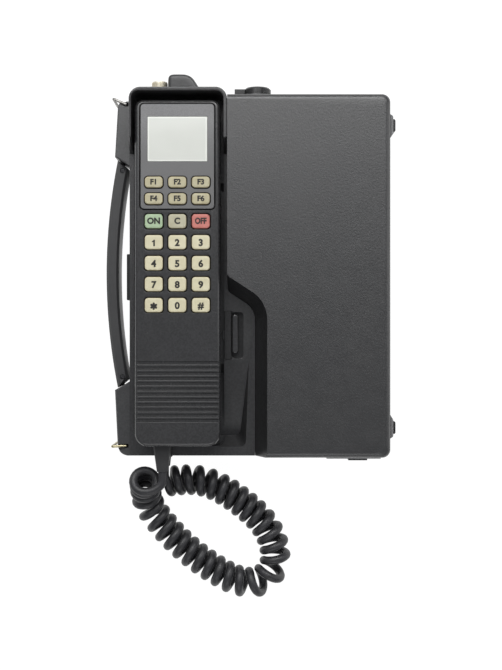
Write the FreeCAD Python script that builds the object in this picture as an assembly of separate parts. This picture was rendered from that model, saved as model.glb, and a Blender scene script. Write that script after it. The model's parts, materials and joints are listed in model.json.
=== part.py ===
import FreeCAD
import Part
import math
import os

# A hard-cased transportable cellular telephone, lying on its back, in millimetres.
# +X points away from the carrying handle, +Y to the antenna end, +Z out of the front face.
# The origin is the centre of the back face, which is the plane Z = 0.

vec = FreeCAD.Vector
os.makedirs("parts", exist_ok=True)

# Case: a shallow rear shell, a deep front shell on the right and a lower cradle on the left
case_half_width = 80.4
case_half_height = 111.0
case_corner_radius = 5.0
case_wall = 2.5
case_seam_height = 12.0
deck_height = 32.0
main_depth = 54.0
main_edge_radius = 3.5
main_edge_steps = 4
main_lean = 0.6
back_edge_bevel = 1.5
seam_gap = 0.1

# Shoulder: the step from the main face down to the deck, first beside the handset, then
# running down obliquely, then along the deck
shoulder_y = 0.1
shoulder_angle = math.radians(33.0)
shoulder_tip_radius = 3.5
shoulder_hollow_radius = 20.0
step_reach = 24.3
step_slope_run = 7.2

# Handset, lying in the cradle with its key face up
handset_half_width = 26.2
handset_foot_inset = 7.0
handset_corner_radius = 5.5
handset_foot_radius = 8.0
handset_face_height = 50.0
handset_seam_height = 38.0
handset_edge_run = 2.6
handset_edge_drop = 2.8
handset_wall = 2.4
handset_face_wall = 3.0
handset_flank_lean = 1.8
handset_end_radius = 4.0
grip_rise = 6.0
grip_half_length = 56.0

# Cradle: recess for the handset, and the hood round its top end
cradle_floor = 21.0
seat_gap = 0.2
cradle_left_wall = 2.8
cradle_side_gap = 1.8
cradle_end_gap = 1.0
cradle_top_gap = 4.7
well_slack = 2.0
hood_overhang = 3.5
hood_wall = 2.3
hood_corner_radius = 7.0
hood_lean = 1.5
hood_length = 30.6
hood_end_slope = 7.3
tray_pocket_height = 18.0
tray_pocket_margin = 5.5

# Finger scoop beside the lower end of the handset
scoop_inset = 5.3
scoop_end_run = 6.4
scoop_length = 53.6
scoop_floor_height = 20.0
scoop_floor_width = 9.5
scoop_rim_width = 13.4
scoop_flare = 2.4
scoop_corner_radius = 4.5
cut_overrun = 3.0
scoop_overrun = 10.0

# Handset latch beside the scoop
latch_slot_start = 4.6
latch_slot_width = 7.5
latch_slot_gap = 1.5
latch_slot_length = 29.0
latch_slot_floor = 25.5
latch_slot_radius = 2.0
latch_plate_margin = 0.7
latch_plate_thickness = 2.4
latch_bar_width = 4.0
latch_bar_start = 0.4
latch_bar_foot_gap = 3.2
latch_bar_length = 24.5
latch_bar_height = 33.4
latch_nose_length = 5.0
latch_nose_rise = 11.4
latch_nose_height = 2.9
latch_nose_overhang = 1.2
latch_clearance = 0.3

# Handset face: display plate and keys
plate_half_width = 22.3
plate_inset = 2.9
plate_length = 63.6
plate_thickness = 1.6
plate_proud = 0.25
plate_corner = 2.0
plate_clearance = 0.15
plate_ledge = 1.8
window_half_width = 18.3
window_inset_y = 7.5
window_length = 27.5
window_inset = 0.1
key_columns = 3
key_pitch_x = 14.3
key_pitch_y = 12.75
key_width = 11.2
key_height = 9.0
key_corner = 1.3
key_bevel = 0.5
key_proud = 1.3
key_clearance = 0.35
key_flange_margin = 0.7
key_flange_thickness = 0.9
key_flange_gap = 0.3
first_key_drop = 23.75
function_key_height = 7.0
function_key_pitch = 10.1
first_function_key_drop = 47.6
mat_thickness = 0.9
mat_margin = 3.0
key_travel_room = 1.0
board_thickness = 1.6

# Ribbed thumb rest on the handset face
rib_count = 11
rib_pitch = 3.19
first_rib_rise = 49.5
rib_groove_width = 1.7
rib_groove_depth = 0.9

# Sound capsules in the handset
earpiece_radius = 12.0
earpiece_inset = 22.5
earpiece_depth = 7.0
microphone_radius = 5.0
microphone_inset = 19.0
microphone_depth = 5.0

# Side brackets and the bowed carrying handle between them
bracket_low = 2.0
bracket_high = 32.0
bracket_edge_bevel = 0.8
bracket_mouth_reach = 9.2
bracket_mouth_outer = 72.6
bracket_mouth_inner = 67.2
bracket_corner_reach = 7.2
bracket_corner_radius = 3.0
bracket_foot_radius = 6.5
bracket_inset = 1.4
handle_mid_y = 2.4
handle_reach = 15.0
handle_bow_radius = 362.0
handle_thickness = 7.6
handle_low = 6.0
handle_high = 28.0
handle_bevel = 1.4
handle_end_gap = 1.3
handle_pin_reach = 4.9
handle_pin_offset = 64.5
handle_pin_radius = 1.5
handle_pin_clearance = 0.1
handle_pin_recess = 0.3
strip_thickness = 1.2
strip_low = 9.0
strip_high = 25.0
strip_start = 56.0
strip_end = 86.0
strip_clearance = 0.3
rest_pad_thickness = 2.5
rest_pad_bottom_y = -14.0
rest_pad_top_y = 15.0
rest_pad_low = 9.0
rest_pad_high = 25.0

# Strap rings, bent from wire, that turn in the brackets
ring_wire_radius = 0.85
ring_leg = 9.2
ring_pivot_reach = 1.8
upper_ring_inset = 2.0
lower_ring_inset = 6.1
upper_ring_angle = 156.0
lower_ring_angle = 183.7
upper_ring_swing = (-15.0, 15.0)
lower_ring_swing = (-2.0, 18.0)
ring_pin_length = 6.0
ring_inlay = 1.0
ring_clearance = 0.3

# Antenna connector and its guard on the top wall of the cradle
jack_offset = 12.8
jack_height = 22.0
jack_nut_flats = 10.6
jack_nut_thickness = 2.3
jack_radius = 4.75
jack_length = 8.9
jack_bore_radius = 3.2
jack_bore_depth = 5.4
jack_insulator_thickness = 2.0
jack_contact_radius = 0.8
jack_contact_length = 2.5
guard_left_offset = 7.2
guard_width = 22.3
guard_top_width = 14.3
guard_reach = 12.8
guard_low = 13.0
guard_high = 31.0
guard_bevel = 1.2

# Power socket on the top wall of the main case, with its rubber cap
socket_offset = 18.6
socket_height = 22.0
socket_boss_radius = 9.0
socket_boss_length = 4.3
socket_radius = 4.1
socket_fit = 0.1
socket_depth = 10.0
socket_bore_radius = 2.75
socket_pin_radius = 1.0
socket_recess = 0.5
cap_radius = 8.5
cap_thickness = 4.0
cap_bevel = 1.2
cap_gap = 0.2
cap_tab_reach = 14.4
cap_tab_width = 6.0
cap_tab_thickness = 3.1
cap_knuckle_length = 1.8
cap_knuckle_reach = 0.5

# Feet on the side that stands on the floor when the unit is carried upright
foot_inset = 11.6
foot_length = 14.8
foot_rise = 1.9
foot_inner_slope = 3.1
foot_outer_slope = 1.3
foot_low = 8.0
foot_high = 46.0
pad_thickness = 1.7
pad_setback = 2.6
pad_length = 8.0
pad_radius = 1.2
pad_end_margin = 3.0

# Accessory connector on the bottom wall of the main case
accessory_inset = 4.3
accessory_length = 33.9
accessory_low = 14.0
accessory_high = 32.0
accessory_thickness = 2.0
accessory_socket_offset = 13.8
accessory_socket_length = 11.9
accessory_socket_margin = 3.0
accessory_socket_reach = 1.3
accessory_recess = 0.9
accessory_rim = 1.5

# Radio chassis, logic board and battery inside the main case
chassis_step_gap = 7.3
chassis_side_gap = 4.4
chassis_bottom_y = 12.0
chassis_end_gap = 8.0
chassis_depth = 23.5
logic_board_margin = 2.0
battery_step_gap = 5.0
battery_end_gap = 5.0
battery_top_y = 6.0
battery_depth = 41.5

# Curly cord from the handset's strain relief to the gland in the bottom wall
wire_diameter = 5.4
wire_sides = 6
coil_radius = 7.2
first_pitch = 7.5
last_pitch = 6.15
inner_spacing = 6.2
walk_steps = 60
lead_turn = 0.25
boot_offset = 9.9
boot_sections = [(0.0, 5.6, 4.4), (6.0, 4.7, 4.0), (16.3, 3.3, 3.3)]
boot_edge = 1.1
gland_height = 17.3
gland_flange_half = 5.0
gland_flange_thickness = 1.8
gland_root_half = 4.0
gland_tip_half = 3.3
gland_edge = 1.1
gland_length = 7.8
# Points that steer the middle line of the coil, measured in plan from the tip of the strain
# relief; it lies on the floor from the fourth one on
cord_axis = [
    (-11.0, -5.2, 38.0), (-11.5, -7.7, 28.0), (-12.0, -23.2, 11.0), (2.0, -41.7, 10.05),
    (16.5, -55.2, 10.05), (31.5, -65.7, 10.05), (45.5, -73.2, 10.05), (60.0, -74.7, 10.05),
    (70.5, -64.2, 10.05), (70.0, -49.7, 10.05), (64.0, -36.7, 10.05), (54.0, -26.7, 10.05),
    (41.5, -17.2, 10.05), (27.5, -9.7, 10.05), (13.5, -7.6, 10.05), (1.5, -9.4, 10.05),
]

# Heights and places that follow from the sizes above
handset_bottom_y = -case_half_height + handset_foot_inset
hood_top_y = case_half_height + hood_overhang
hood_end_y = hood_top_y - hood_length
recess_left = -case_half_width + cradle_left_wall
handset_mid_x = recess_left + cradle_side_gap + handset_half_width
recess_right = handset_mid_x + handset_half_width + cradle_side_gap
recess_bottom_y = handset_bottom_y - cradle_end_gap
recess_top_y = hood_top_y - hood_wall
handset_top_y = recess_top_y - cradle_top_gap
handset_back_height = cradle_floor + seat_gap
cradle_edge_x = recess_right + hood_wall
step_face_x = cradle_edge_x + step_reach
saddle_height = cradle_floor + grip_rise
scoop_bottom_y = -case_half_height + scoop_inset
scoop_floor_y = scoop_bottom_y + scoop_end_run
scoop_top_y = scoop_bottom_y + scoop_length
scoop_floor_x = recess_right + scoop_floor_width
scoop_rim_x = recess_right + scoop_rim_width
latch_slot_left = recess_right + latch_slot_start
latch_slot_right = latch_slot_left + latch_slot_width
latch_slot_bottom = scoop_top_y + latch_slot_gap
latch_slot_top = latch_slot_bottom + latch_slot_length
latch_bar_left = latch_slot_left + latch_bar_start
latch_bar_bottom = latch_slot_bottom + latch_bar_foot_gap
latch_bar_top = latch_bar_bottom + latch_bar_length
latch_nose_y = latch_bar_bottom + latch_nose_rise
shell_ceiling = handset_face_height - handset_face_wall
plate_seat = handset_face_height - plate_thickness
plate_face = plate_seat + plate_thickness + plate_proud
plate_top_y = handset_top_y - plate_inset
plate_bottom_y = plate_top_y - plate_length
window_top_y = plate_top_y - window_inset_y
window_bottom_y = window_top_y - window_length
first_function_key_y = plate_top_y - first_function_key_drop
first_key_y = first_function_key_y - first_key_drop
first_rib_y = handset_bottom_y + first_rib_rise
earpiece_y = handset_top_y - earpiece_inset
microphone_y = handset_bottom_y + microphone_inset
key_flange_top = shell_ceiling - key_flange_gap
mat_top = key_flange_top - key_flange_thickness - key_travel_room
board_top = mat_top - mat_thickness
key_top = handset_face_height + key_proud
bracket_mouth_x = -case_half_width - bracket_mouth_reach
bracket_corner_x = -case_half_width - bracket_corner_reach
bracket_top_y = case_half_height - bracket_inset
bracket_slot_depth = ring_wire_radius + ring_inlay
handle_outer_x = -case_half_width - handle_reach
handle_pin_x = -case_half_width - handle_pin_reach
ring_pivot_x = -case_half_width - ring_pivot_reach
upper_ring_pivot_y = bracket_top_y - upper_ring_inset
lower_ring_pivot_y = -case_half_height + lower_ring_inset
front_leg_height = bracket_high - ring_inlay
back_leg_height = bracket_low + ring_inlay
jack_x = handset_mid_x - jack_offset
guard_left_x = handset_mid_x - guard_left_offset
guard_right_x = guard_left_x + guard_width
guard_shoulder_x = guard_left_x + guard_top_width
socket_x = cradle_edge_x + socket_offset
cap_tab_left = socket_x - cap_tab_reach
foot_outer_y = case_half_height - foot_inset
foot_inner_y = foot_outer_y - foot_length
pad_outer_y = foot_outer_y - pad_setback
pad_inner_y = pad_outer_y - pad_length
accessory_right = case_half_width - accessory_inset
accessory_left = accessory_right - accessory_length
accessory_socket_left = accessory_left + accessory_socket_offset
accessory_socket_right = accessory_socket_left + accessory_socket_length
chassis_left = cradle_edge_x + chassis_step_gap
chassis_right = case_half_width - chassis_side_gap
chassis_top_y = case_half_height - chassis_end_gap
battery_left = step_face_x + battery_step_gap
battery_bottom_y = -case_half_height + battery_end_gap
boot_x = handset_mid_x - boot_offset
boot_tip_y = handset_bottom_y - boot_sections[-1][0]
gland_x = boot_x


# Outlines and the solids made from them
def unit(u, v):
    length = math.hypot(u, v)
    return u / length, v / length


def rounded_corner(before, corner, after):
    """Start, middle and end of the arc that rounds a corner, or the corner itself."""
    u, v, radius = corner
    if radius == 0:
        return (u, v), None, (u, v)
    back = unit(before[0] - u, before[1] - v)
    ahead = unit(after[0] - u, after[1] - v)
    half_angle = math.acos(back[0] * ahead[0] + back[1] * ahead[1]) / 2
    reach = radius / math.tan(half_angle)
    inward = unit(back[0] + ahead[0], back[1] + ahead[1])
    depth = radius / math.sin(half_angle) - radius
    start = (u + back[0] * reach, v + back[1] * reach)
    middle = (u + inward[0] * depth, v + inward[1] * depth)
    end = (u + ahead[0] * reach, v + ahead[1] * reach)
    return start, middle, end


def outline(corners, place):
    """A closed wire through (u, v, radius) corners, put in space by place(u, v)."""
    count = len(corners)
    stops = []
    for i, corner in enumerate(corners):
        stops.append(rounded_corner(corners[i - 1], corner, corners[(i + 1) % count]))
    edges = []
    for i, (start, middle, end) in enumerate(stops):
        if middle:
            edges.append(Part.Arc(place(*start), place(*middle), place(*end)).toShape())
        edges.append(Part.makeLine(place(*end), place(*stops[(i + 1) % count][0])))
    return Part.Wire(edges)


def shrunk(corners, inset):
    """The corners of an anticlockwise outline moved inward, with their radii to match."""
    moved = []
    for i, (u, v, radius) in enumerate(corners):
        before = corners[i - 1]
        after = corners[(i + 1) % len(corners)]
        du0, dv0 = unit(u - before[0], v - before[1])
        du1, dv1 = unit(after[0] - u, after[1] - v)
        share = inset / (1 + du0 * du1 + dv0 * dv1)
        turns_in = du0 * dv1 - dv0 * du1 < 0
        if radius:
            radius = radius + inset if turns_in else max(radius - inset, 0.2)
        moved.append((u - (dv0 + dv1) * share, v + (du0 + du1) * share, radius))
    return moved


def rectangle(left, bottom, right, top, radius=0.0):
    return [(left, bottom, radius), (right, bottom, radius), (right, top, radius), (left, top, radius)]


def clipped_rectangle(left, bottom, right, top, clip):
    """A rectangle whose corners are cut off at 45 degrees."""
    return [
        (left + clip, bottom, 0), (right - clip, bottom, 0),
        (right, bottom + clip, 0), (right, top - clip, 0),
        (right - clip, top, 0), (left + clip, top, 0),
        (left, top - clip, 0), (left, bottom + clip, 0),
    ]


def in_plan(z):
    return lambda u, v: vec(u, v, z)


def plan_block(corners, low, high):
    """A plan outline (X, Y) carried from one height to another."""
    return Part.Face(outline(corners, in_plan(low))).extrude(vec(0, 0, high - low))


def side_block(corners, left, right):
    """A side outline (Y, Z) carried along X."""
    return Part.Face(outline(corners, lambda u, v: vec(left, u, v))).extrude(vec(right - left, 0, 0))


def end_block(corners, near, far):
    """An end outline (X, Z) carried along Y."""
    return Part.Face(outline(corners, lambda u, v: vec(u, near, v))).extrude(vec(0, far - near, 0))


def stacked(sections):
    """A solid through plan outlines given as (height, corners)."""
    return Part.makeLoft([outline(corners, in_plan(z)) for z, corners in sections], True, True)


def bevelled_block(corners, low, high, low_bevel, high_bevel):
    sections = [(low, corners), (high, corners)]
    if low_bevel:
        sections = [(low, shrunk(corners, low_bevel)), (low + low_bevel, corners)] + sections[1:]
    if high_bevel:
        sections = sections[:-1] + [(high - high_bevel, corners), (high, shrunk(corners, high_bevel))]
    return stacked(sections)


def box(left, bottom, low, right, top, high):
    return Part.makeBox(right - left, top - bottom, high - low, vec(left, bottom, low))


def post(x, y, radius, low, high):
    return Part.makeCylinder(radius, high - low, vec(x, y, low))


def barrel(x, z, radius, near, far):
    """A cylinder along Y."""
    return Part.makeCylinder(radius, far - near, vec(x, near, z), vec(0, 1, 0))


def turned(x, z, profile):
    """A solid turned about an axis along Y, from its (radius, y) profile."""
    points = [vec(x, profile[0][1], z)]
    points += [vec(x + radius, y, z) for radius, y in profile]
    points += [vec(x, profile[-1][1], z), points[0]]
    return Part.Face(Part.makePolygon(points)).revolve(vec(x, 0, z), vec(0, 1, 0), 360)


def tapered(x, z, edge, sections):
    """A block along Y through (y, half width, half height) sections with clipped corners."""
    wires = []
    for y, wide, high in sections:
        corners = clipped_rectangle(x - wide, z - high, x + wide, z + high, edge)
        wires.append(outline(corners, lambda u, v: vec(u, y, v)))
    return Part.makeLoft(wires, True, True)


def mirrored_in_y(shape):
    return shape.mirror(vec(0, 0, 0), vec(0, 1, 0))


def keep(name, *shapes):
    """Write one node from its solids."""
    solids = []
    for shape in shapes:
        solids += shape.Solids
    for solid in solids:
        if not solid.isValid() or solid.Volume <= 0:
            print("check", name, "a solid is not valid")
    whole = solids[0] if len(solids) == 1 else Part.makeCompound(solids)
    whole.exportStep("parts/" + name + ".step")


# Case
def shoulder_line(x, slope):
    """The shoulder's Y at x; slope is 0 at the main face and 1 at the deck."""
    level = shoulder_y - (x - cradle_edge_x) * math.tan(shoulder_angle)
    return level - slope * step_slope_run / math.cos(shoulder_angle)


def main_corners(slope, rim=0.0):
    """Plan outline of the deep front shell between deck and main face, less the rounding of its rim."""
    step_x = step_face_x - slope * step_slope_run
    right = case_half_width - (1 - slope) * main_lean - rim
    top = case_half_height - (1 - slope) * main_lean - rim
    return [
        (step_x, -top, 0), (right, -top, case_corner_radius), (right, top, case_corner_radius),
        (cradle_edge_x, top, 0), (cradle_edge_x, shoulder_line(cradle_edge_x, slope), shoulder_tip_radius),
        (step_x, shoulder_line(step_x, slope), shoulder_hollow_radius - slope * step_slope_run),
    ]


def slope_at(z):
    return (main_depth - z) / (main_depth - deck_height)


def front_housing():
    foot = main_corners(1)
    sections = [(case_seam_height, foot), (deck_height, foot)]
    for i in range(main_edge_steps + 1):
        turn = math.pi / 2 * i / main_edge_steps
        z = main_depth - main_edge_radius * (1 - math.sin(turn))
        sections.append((z, main_corners(slope_at(z), main_edge_radius * (1 - math.cos(turn)))))
    shell = stacked(sections)
    ceiling = main_depth - case_wall
    inside = stacked([
        (case_seam_height, shrunk(foot, case_wall)),
        (deck_height, shrunk(foot, case_wall)),
        (ceiling, shrunk(main_corners(slope_at(ceiling)), case_wall)),
    ])
    boss_end = case_half_height + socket_boss_length
    boss = barrel(socket_x, socket_height, socket_boss_radius, case_half_height - 1, boss_end)
    bore_start = case_half_height - 2 * case_wall
    bore = barrel(socket_x, socket_height, socket_radius + socket_fit, bore_start, boss_end + 1)
    return shell.cut(inside).fuse(boss).cut(bore).removeSplitter()


def rear_housing():
    plan = rectangle(-case_half_width, -case_half_height,
                     case_half_width, case_half_height, case_corner_radius)
    shell = bevelled_block(plan, 0, case_seam_height, back_edge_bevel, 0)
    return shell.cut(plan_block(shrunk(plan, case_wall), case_wall, case_seam_height + 1))


# Cradle
def recess_solid(top):
    """The space that the handset lies in: two wells with a saddle between them."""
    well = grip_half_length + grip_rise - well_slack
    crest = well - grip_rise
    side = [
        (recess_bottom_y, cradle_floor, 0), (-well, cradle_floor, 0), (-crest, saddle_height, 0),
        (crest, saddle_height, 0), (well, cradle_floor, 0), (recess_top_y, cradle_floor, 0),
        (recess_top_y, top, 0), (recess_bottom_y, top, 0),
    ]
    inner_radius = hood_corner_radius - hood_wall
    plan = rectangle(recess_left, recess_bottom_y, recess_right, recess_top_y, inner_radius)
    plan[0] = (recess_left, recess_bottom_y, handset_foot_radius + cradle_side_gap)
    return side_block(side, recess_left, recess_right).common(plan_block(plan, cradle_floor, top))


def scoop_solid():
    """Finger room whose floor falls towards the lower end and whose right wall leans out."""
    above = deck_height + cut_overrun
    wall_rise = (scoop_rim_x - scoop_floor_x) / (deck_height - scoop_floor_height)
    floor_fall = (deck_height - scoop_floor_height) / (scoop_top_y - scoop_floor_y)
    end_run = (scoop_floor_y - scoop_bottom_y) / (deck_height - scoop_floor_height)
    side = [
        (scoop_floor_y, scoop_floor_height, 0),
        (scoop_top_y + cut_overrun / floor_fall, above, 0),
        (scoop_bottom_y - cut_overrun * end_run, above, 0),
    ]
    left = recess_right - cut_overrun
    wedge = side_block(side, left, scoop_rim_x + scoop_overrun)
    below = scoop_floor_height - cut_overrun
    end = [
        (left, below, 0), (scoop_floor_x - cut_overrun * wall_rise, below, 0),
        (scoop_rim_x + cut_overrun * wall_rise, above, 0), (left, above, 0),
    ]
    start_y = scoop_bottom_y - cut_overrun
    run = scoop_top_y + scoop_overrun - start_y
    face = Part.Face(outline(end, lambda u, v: vec(u, start_y, v)))
    scoop = wedge.common(face.extrude(vec(scoop_flare, run, 0)))
    end_edges = []
    for edge in scoop.Edges:
        centre = edge.CenterOfMass
        upright = abs(edge.tangentAt(edge.FirstParameter).z) > 0.7
        if upright and centre.x > scoop_floor_x and centre.y < scoop_floor_y:
            end_edges.append(edge)
    return scoop.makeFillet(scoop_corner_radius, end_edges)


def cradle_tray():
    foot = shrunk(main_corners(1), -seam_gap)
    step_x, shoulder_foot = foot[5][:2]
    plan = [
        (-case_half_width, -case_half_height, 0), (step_x, -case_half_height, 0),
        (step_x, shoulder_foot, foot[5][2]), (foot[4][0], foot[4][1], foot[4][2]),
        (foot[4][0], hood_top_y, hood_corner_radius), (-case_half_width, hood_top_y, hood_corner_radius),
    ]
    tray = plan_block(plan, case_seam_height, deck_height)
    tray = tray.cut(recess_solid(deck_height + 1)).cut(scoop_solid())
    pocket = rectangle(
        -case_half_width + tray_pocket_margin, -case_half_height + 2 * tray_pocket_margin,
        cradle_edge_x - tray_pocket_margin, case_half_height - tray_pocket_margin,
    )
    tray = tray.cut(plan_block(pocket, case_seam_height - 1, tray_pocket_height))
    slot = rectangle(latch_slot_left, latch_slot_bottom, latch_slot_right, latch_slot_top, latch_slot_radius)
    tray = tray.cut(plan_block(slot, latch_slot_floor, deck_height + 1))
    plate_space = box(
        recess_right - 1, latch_slot_bottom - latch_plate_margin, deck_height - latch_plate_thickness,
        latch_slot_left + 0.5, latch_slot_top + latch_plate_margin, deck_height + 1,
    )
    nose_half = latch_nose_length / 2 + latch_clearance
    nose_space = box(
        recess_right - latch_nose_overhang - latch_clearance, latch_nose_y - nose_half, latch_slot_floor,
        latch_slot_left + 0.5, latch_nose_y + nose_half, deck_height,
    )
    tray = tray.cut(plate_space).cut(nose_space)
    return tray.removeSplitter()


def cradle_hood():
    right = cradle_edge_x - seam_gap
    low_y = hood_end_y - 2 * hood_end_slope

    def plan(lean):
        left = -case_half_width + lean
        return [
            (left, low_y, 0), (right, low_y, 0),
            (right, hood_top_y, hood_corner_radius), (left, hood_top_y, hood_corner_radius),
        ]

    hood = stacked([(deck_height, plan(0)), (main_depth, plan(hood_lean))])
    kept = [
        (hood_end_y - hood_end_slope, deck_height, 0), (hood_top_y + 1, deck_height, 0),
        (hood_top_y + 1, main_depth, 0), (hood_end_y, main_depth, 0),
    ]
    hood = hood.common(side_block(kept, -case_half_width - 1, cradle_edge_x + 1))
    return hood.cut(recess_solid(main_depth + 1))


# Latch
def latch_plate():
    plate = box(
        recess_right + latch_clearance / 2, latch_slot_bottom - latch_plate_margin + latch_clearance / 2,
        deck_height - latch_plate_thickness, latch_slot_left - latch_clearance / 2,
        latch_slot_top + latch_plate_margin - latch_clearance / 2, deck_height - latch_clearance,
    )
    return plate


def latch_slider():
    bar_right = latch_bar_left + latch_bar_width
    bar_plan = rectangle(latch_bar_left, latch_bar_bottom, bar_right, latch_bar_top, latch_bar_width * 0.45)
    bar = bevelled_block(bar_plan, latch_slot_floor + latch_clearance, latch_bar_height, 0, 0.7)
    nose_low = latch_slot_floor + latch_clearance
    nose = box(
        recess_right - latch_nose_overhang, latch_nose_y - latch_nose_length / 2, nose_low,
        latch_bar_left + 1, latch_nose_y + latch_nose_length / 2, nose_low + latch_nose_height,
    )
    return bar.fuse(nose).removeSplitter()


# Side brackets, handle and strap rings
def bracket_corners():
    """Plan of the upper bracket, with its oblique mouth facing the handle."""
    return [
        (-case_half_width, handle_mid_y + bracket_mouth_inner, 0), (-case_half_width, bracket_top_y, 0),
        (bracket_corner_x, bracket_top_y, bracket_corner_radius),
        (bracket_mouth_x, handle_mid_y + bracket_mouth_outer, 0),
    ]


def lower_bracket_corners():
    return [
        (-case_half_width, handle_mid_y - bracket_mouth_inner, 0),
        (bracket_mouth_x, handle_mid_y - bracket_mouth_outer, 0),
        (bracket_corner_x, -case_half_height, bracket_foot_radius), (-case_half_width, -case_half_height, 0),
    ]


def ring_slot(pivot_y, angle, swing):
    """Plan of the shallow pocket that a ring's leg swings in."""
    half = ring_wire_radius + ring_clearance
    reach = 2 * ring_leg
    first = math.radians(angle + swing[0])
    last = math.radians(angle + swing[1])
    middle = (first + last) / 2

    def spot(along, across, turn):
        u = ring_pivot_x + along * math.cos(turn) - across * math.sin(turn)
        v = pivot_y + along * math.sin(turn) + across * math.cos(turn)
        return u, v, 0

    return [
        spot(-half, 0, middle), spot(0, -half, first), spot(reach, -half, first),
        spot(reach, half, last), spot(0, half, last),
    ]


def side_bracket(corners, strip_from, strip_to, pivot_y, angle, swing):
    block = bevelled_block(corners, bracket_low, bracket_high, bracket_edge_bevel, bracket_edge_bevel)
    root = box(-case_half_width - 2, min(c[1] for c in corners), bracket_low,
               -case_half_width, max(c[1] for c in corners), bracket_high)
    plain = plan_block(corners, bracket_low, bracket_high)
    block = block.fuse(root.common(plain))
    half = strip_thickness / 2 + strip_clearance
    block = block.cut(box(handle_pin_x - half, min(strip_from, strip_to), strip_low - strip_clearance,
                          handle_pin_x + half, max(strip_from, strip_to), strip_high + strip_clearance))
    slot = ring_slot(pivot_y, angle, swing)
    depth = bracket_slot_depth + ring_clearance
    block = block.cut(plan_block(slot, bracket_high - depth, bracket_high + 1))
    block = block.cut(plan_block(slot, bracket_low - 1, bracket_low + depth))
    hole = ring_wire_radius + ring_clearance
    for low, high in (
        (front_leg_height - ring_pin_length - ring_clearance, bracket_high),
        (bracket_low, back_leg_height + ring_pin_length + ring_clearance),
    ):
        block = block.cut(box(ring_pivot_x - hole, pivot_y - hole, low,
                              ring_pivot_x + hole, pivot_y + hole, high))
    return block.removeSplitter()


def strap_ring(pivot_y, angle):
    """A wire loop: two legs joined by an outer bar, with their ends turned in as pivots."""
    turn = math.radians(angle)
    pivot = vec(ring_pivot_x, pivot_y, 0)
    tip = pivot + vec(math.cos(turn), math.sin(turn), 0) * ring_leg
    stops = [
        pivot + vec(0, 0, front_leg_height - ring_pin_length), pivot + vec(0, 0, front_leg_height),
        tip + vec(0, 0, front_leg_height), tip + vec(0, 0, back_leg_height),
        pivot + vec(0, 0, back_leg_height), pivot + vec(0, 0, back_leg_height + ring_pin_length),
    ]
    sides = 8
    section = []
    for i in range(sides + 1):
        around = 2 * math.pi * (i + 0.5) / sides
        section.append(stops[0] + vec(math.cos(around), math.sin(around), 0) * ring_wire_radius)
    path = Part.makePolygon(stops)
    return path.makePipeShell([Part.makePolygon(section)], True, False, 1)


def grip_outline(inset, z):
    """Plan of the bowed grip: two concentric arcs and two oblique ends."""
    outer = handle_bow_radius - inset
    inner = handle_bow_radius - handle_thickness + inset
    centre_x = handle_outer_x + handle_bow_radius
    outer_half = bracket_mouth_outer - handle_end_gap - inset
    inner_half = bracket_mouth_inner - handle_end_gap - inset

    def on_arc(radius, offset):
        return vec(centre_x - math.sqrt(radius ** 2 - offset ** 2), handle_mid_y + offset, z)

    return Part.Wire([
        Part.Arc(on_arc(outer, outer_half), on_arc(outer, 0), on_arc(outer, -outer_half)).toShape(),
        Part.makeLine(on_arc(outer, -outer_half), on_arc(inner, -inner_half)),
        Part.Arc(on_arc(inner, -inner_half), on_arc(inner, 0), on_arc(inner, inner_half)).toShape(),
        Part.makeLine(on_arc(inner, inner_half), on_arc(outer, outer_half)),
    ])


def handle_grip():
    grip = Part.makeLoft([
        grip_outline(handle_bevel, handle_low), grip_outline(0, handle_low + handle_bevel),
        grip_outline(0, handle_high - handle_bevel), grip_outline(handle_bevel, handle_high),
    ], True, True)
    half = strip_thickness / 2 + strip_clearance
    hole_radius = handle_pin_radius + handle_pin_clearance
    for side in (1, -1):
        start = handle_mid_y + side * (strip_start - strip_clearance)
        end = handle_mid_y + side * strip_end
        grip = grip.cut(box(handle_pin_x - half, min(start, end), strip_low - strip_clearance,
                            handle_pin_x + half, max(start, end), strip_high + strip_clearance))
        pin_y = handle_mid_y + side * handle_pin_offset
        grip = grip.cut(post(handle_pin_x, pin_y, hole_radius, 0, handle_high + 1))
    return grip


def handle_pin(side):
    pin_y = handle_mid_y + side * handle_pin_offset
    low = handle_low + handle_pin_recess
    return post(handle_pin_x, pin_y, handle_pin_radius, low, handle_high - handle_pin_recess)


def handle_strip(side):
    """Spring strip that runs from inside the grip into the bracket's mouth."""
    start = handle_mid_y + side * strip_start
    end = handle_mid_y + side * strip_end
    strip = box(handle_pin_x - strip_thickness / 2, min(start, end), strip_low,
                handle_pin_x + strip_thickness / 2, max(start, end), strip_high)
    pin_y = handle_mid_y + side * handle_pin_offset
    return strip.cut(post(handle_pin_x, pin_y, handle_pin_radius + 2 * handle_pin_clearance, 0, handle_high))


# Fittings on the top, side and bottom walls
def antenna_jack():
    nut_radius = jack_nut_flats / math.sqrt(3)
    corners = []
    for i in range(6):
        turn = math.radians(60 * i + 30)
        corners.append((jack_x + nut_radius * math.cos(turn), jack_height + nut_radius * math.sin(turn), 0))
    nut = end_block(corners, hood_top_y, hood_top_y + jack_nut_thickness)
    thread = barrel(jack_x, jack_height, jack_radius, hood_top_y, hood_top_y + jack_length)
    mouth = hood_top_y + jack_length
    bore = barrel(jack_x, jack_height, jack_bore_radius, mouth - jack_bore_depth, mouth + 1)
    return nut.fuse(thread).cut(bore).removeSplitter()


def antenna_guard():
    top = hood_top_y + guard_reach
    plan = [
        (guard_left_x, hood_top_y, 0), (guard_right_x, hood_top_y, 0),
        (guard_shoulder_x, top, 8.0), (guard_left_x, top, 2.5),
    ]
    return bevelled_block(plan, guard_low, guard_high, guard_bevel, guard_bevel)


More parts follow.
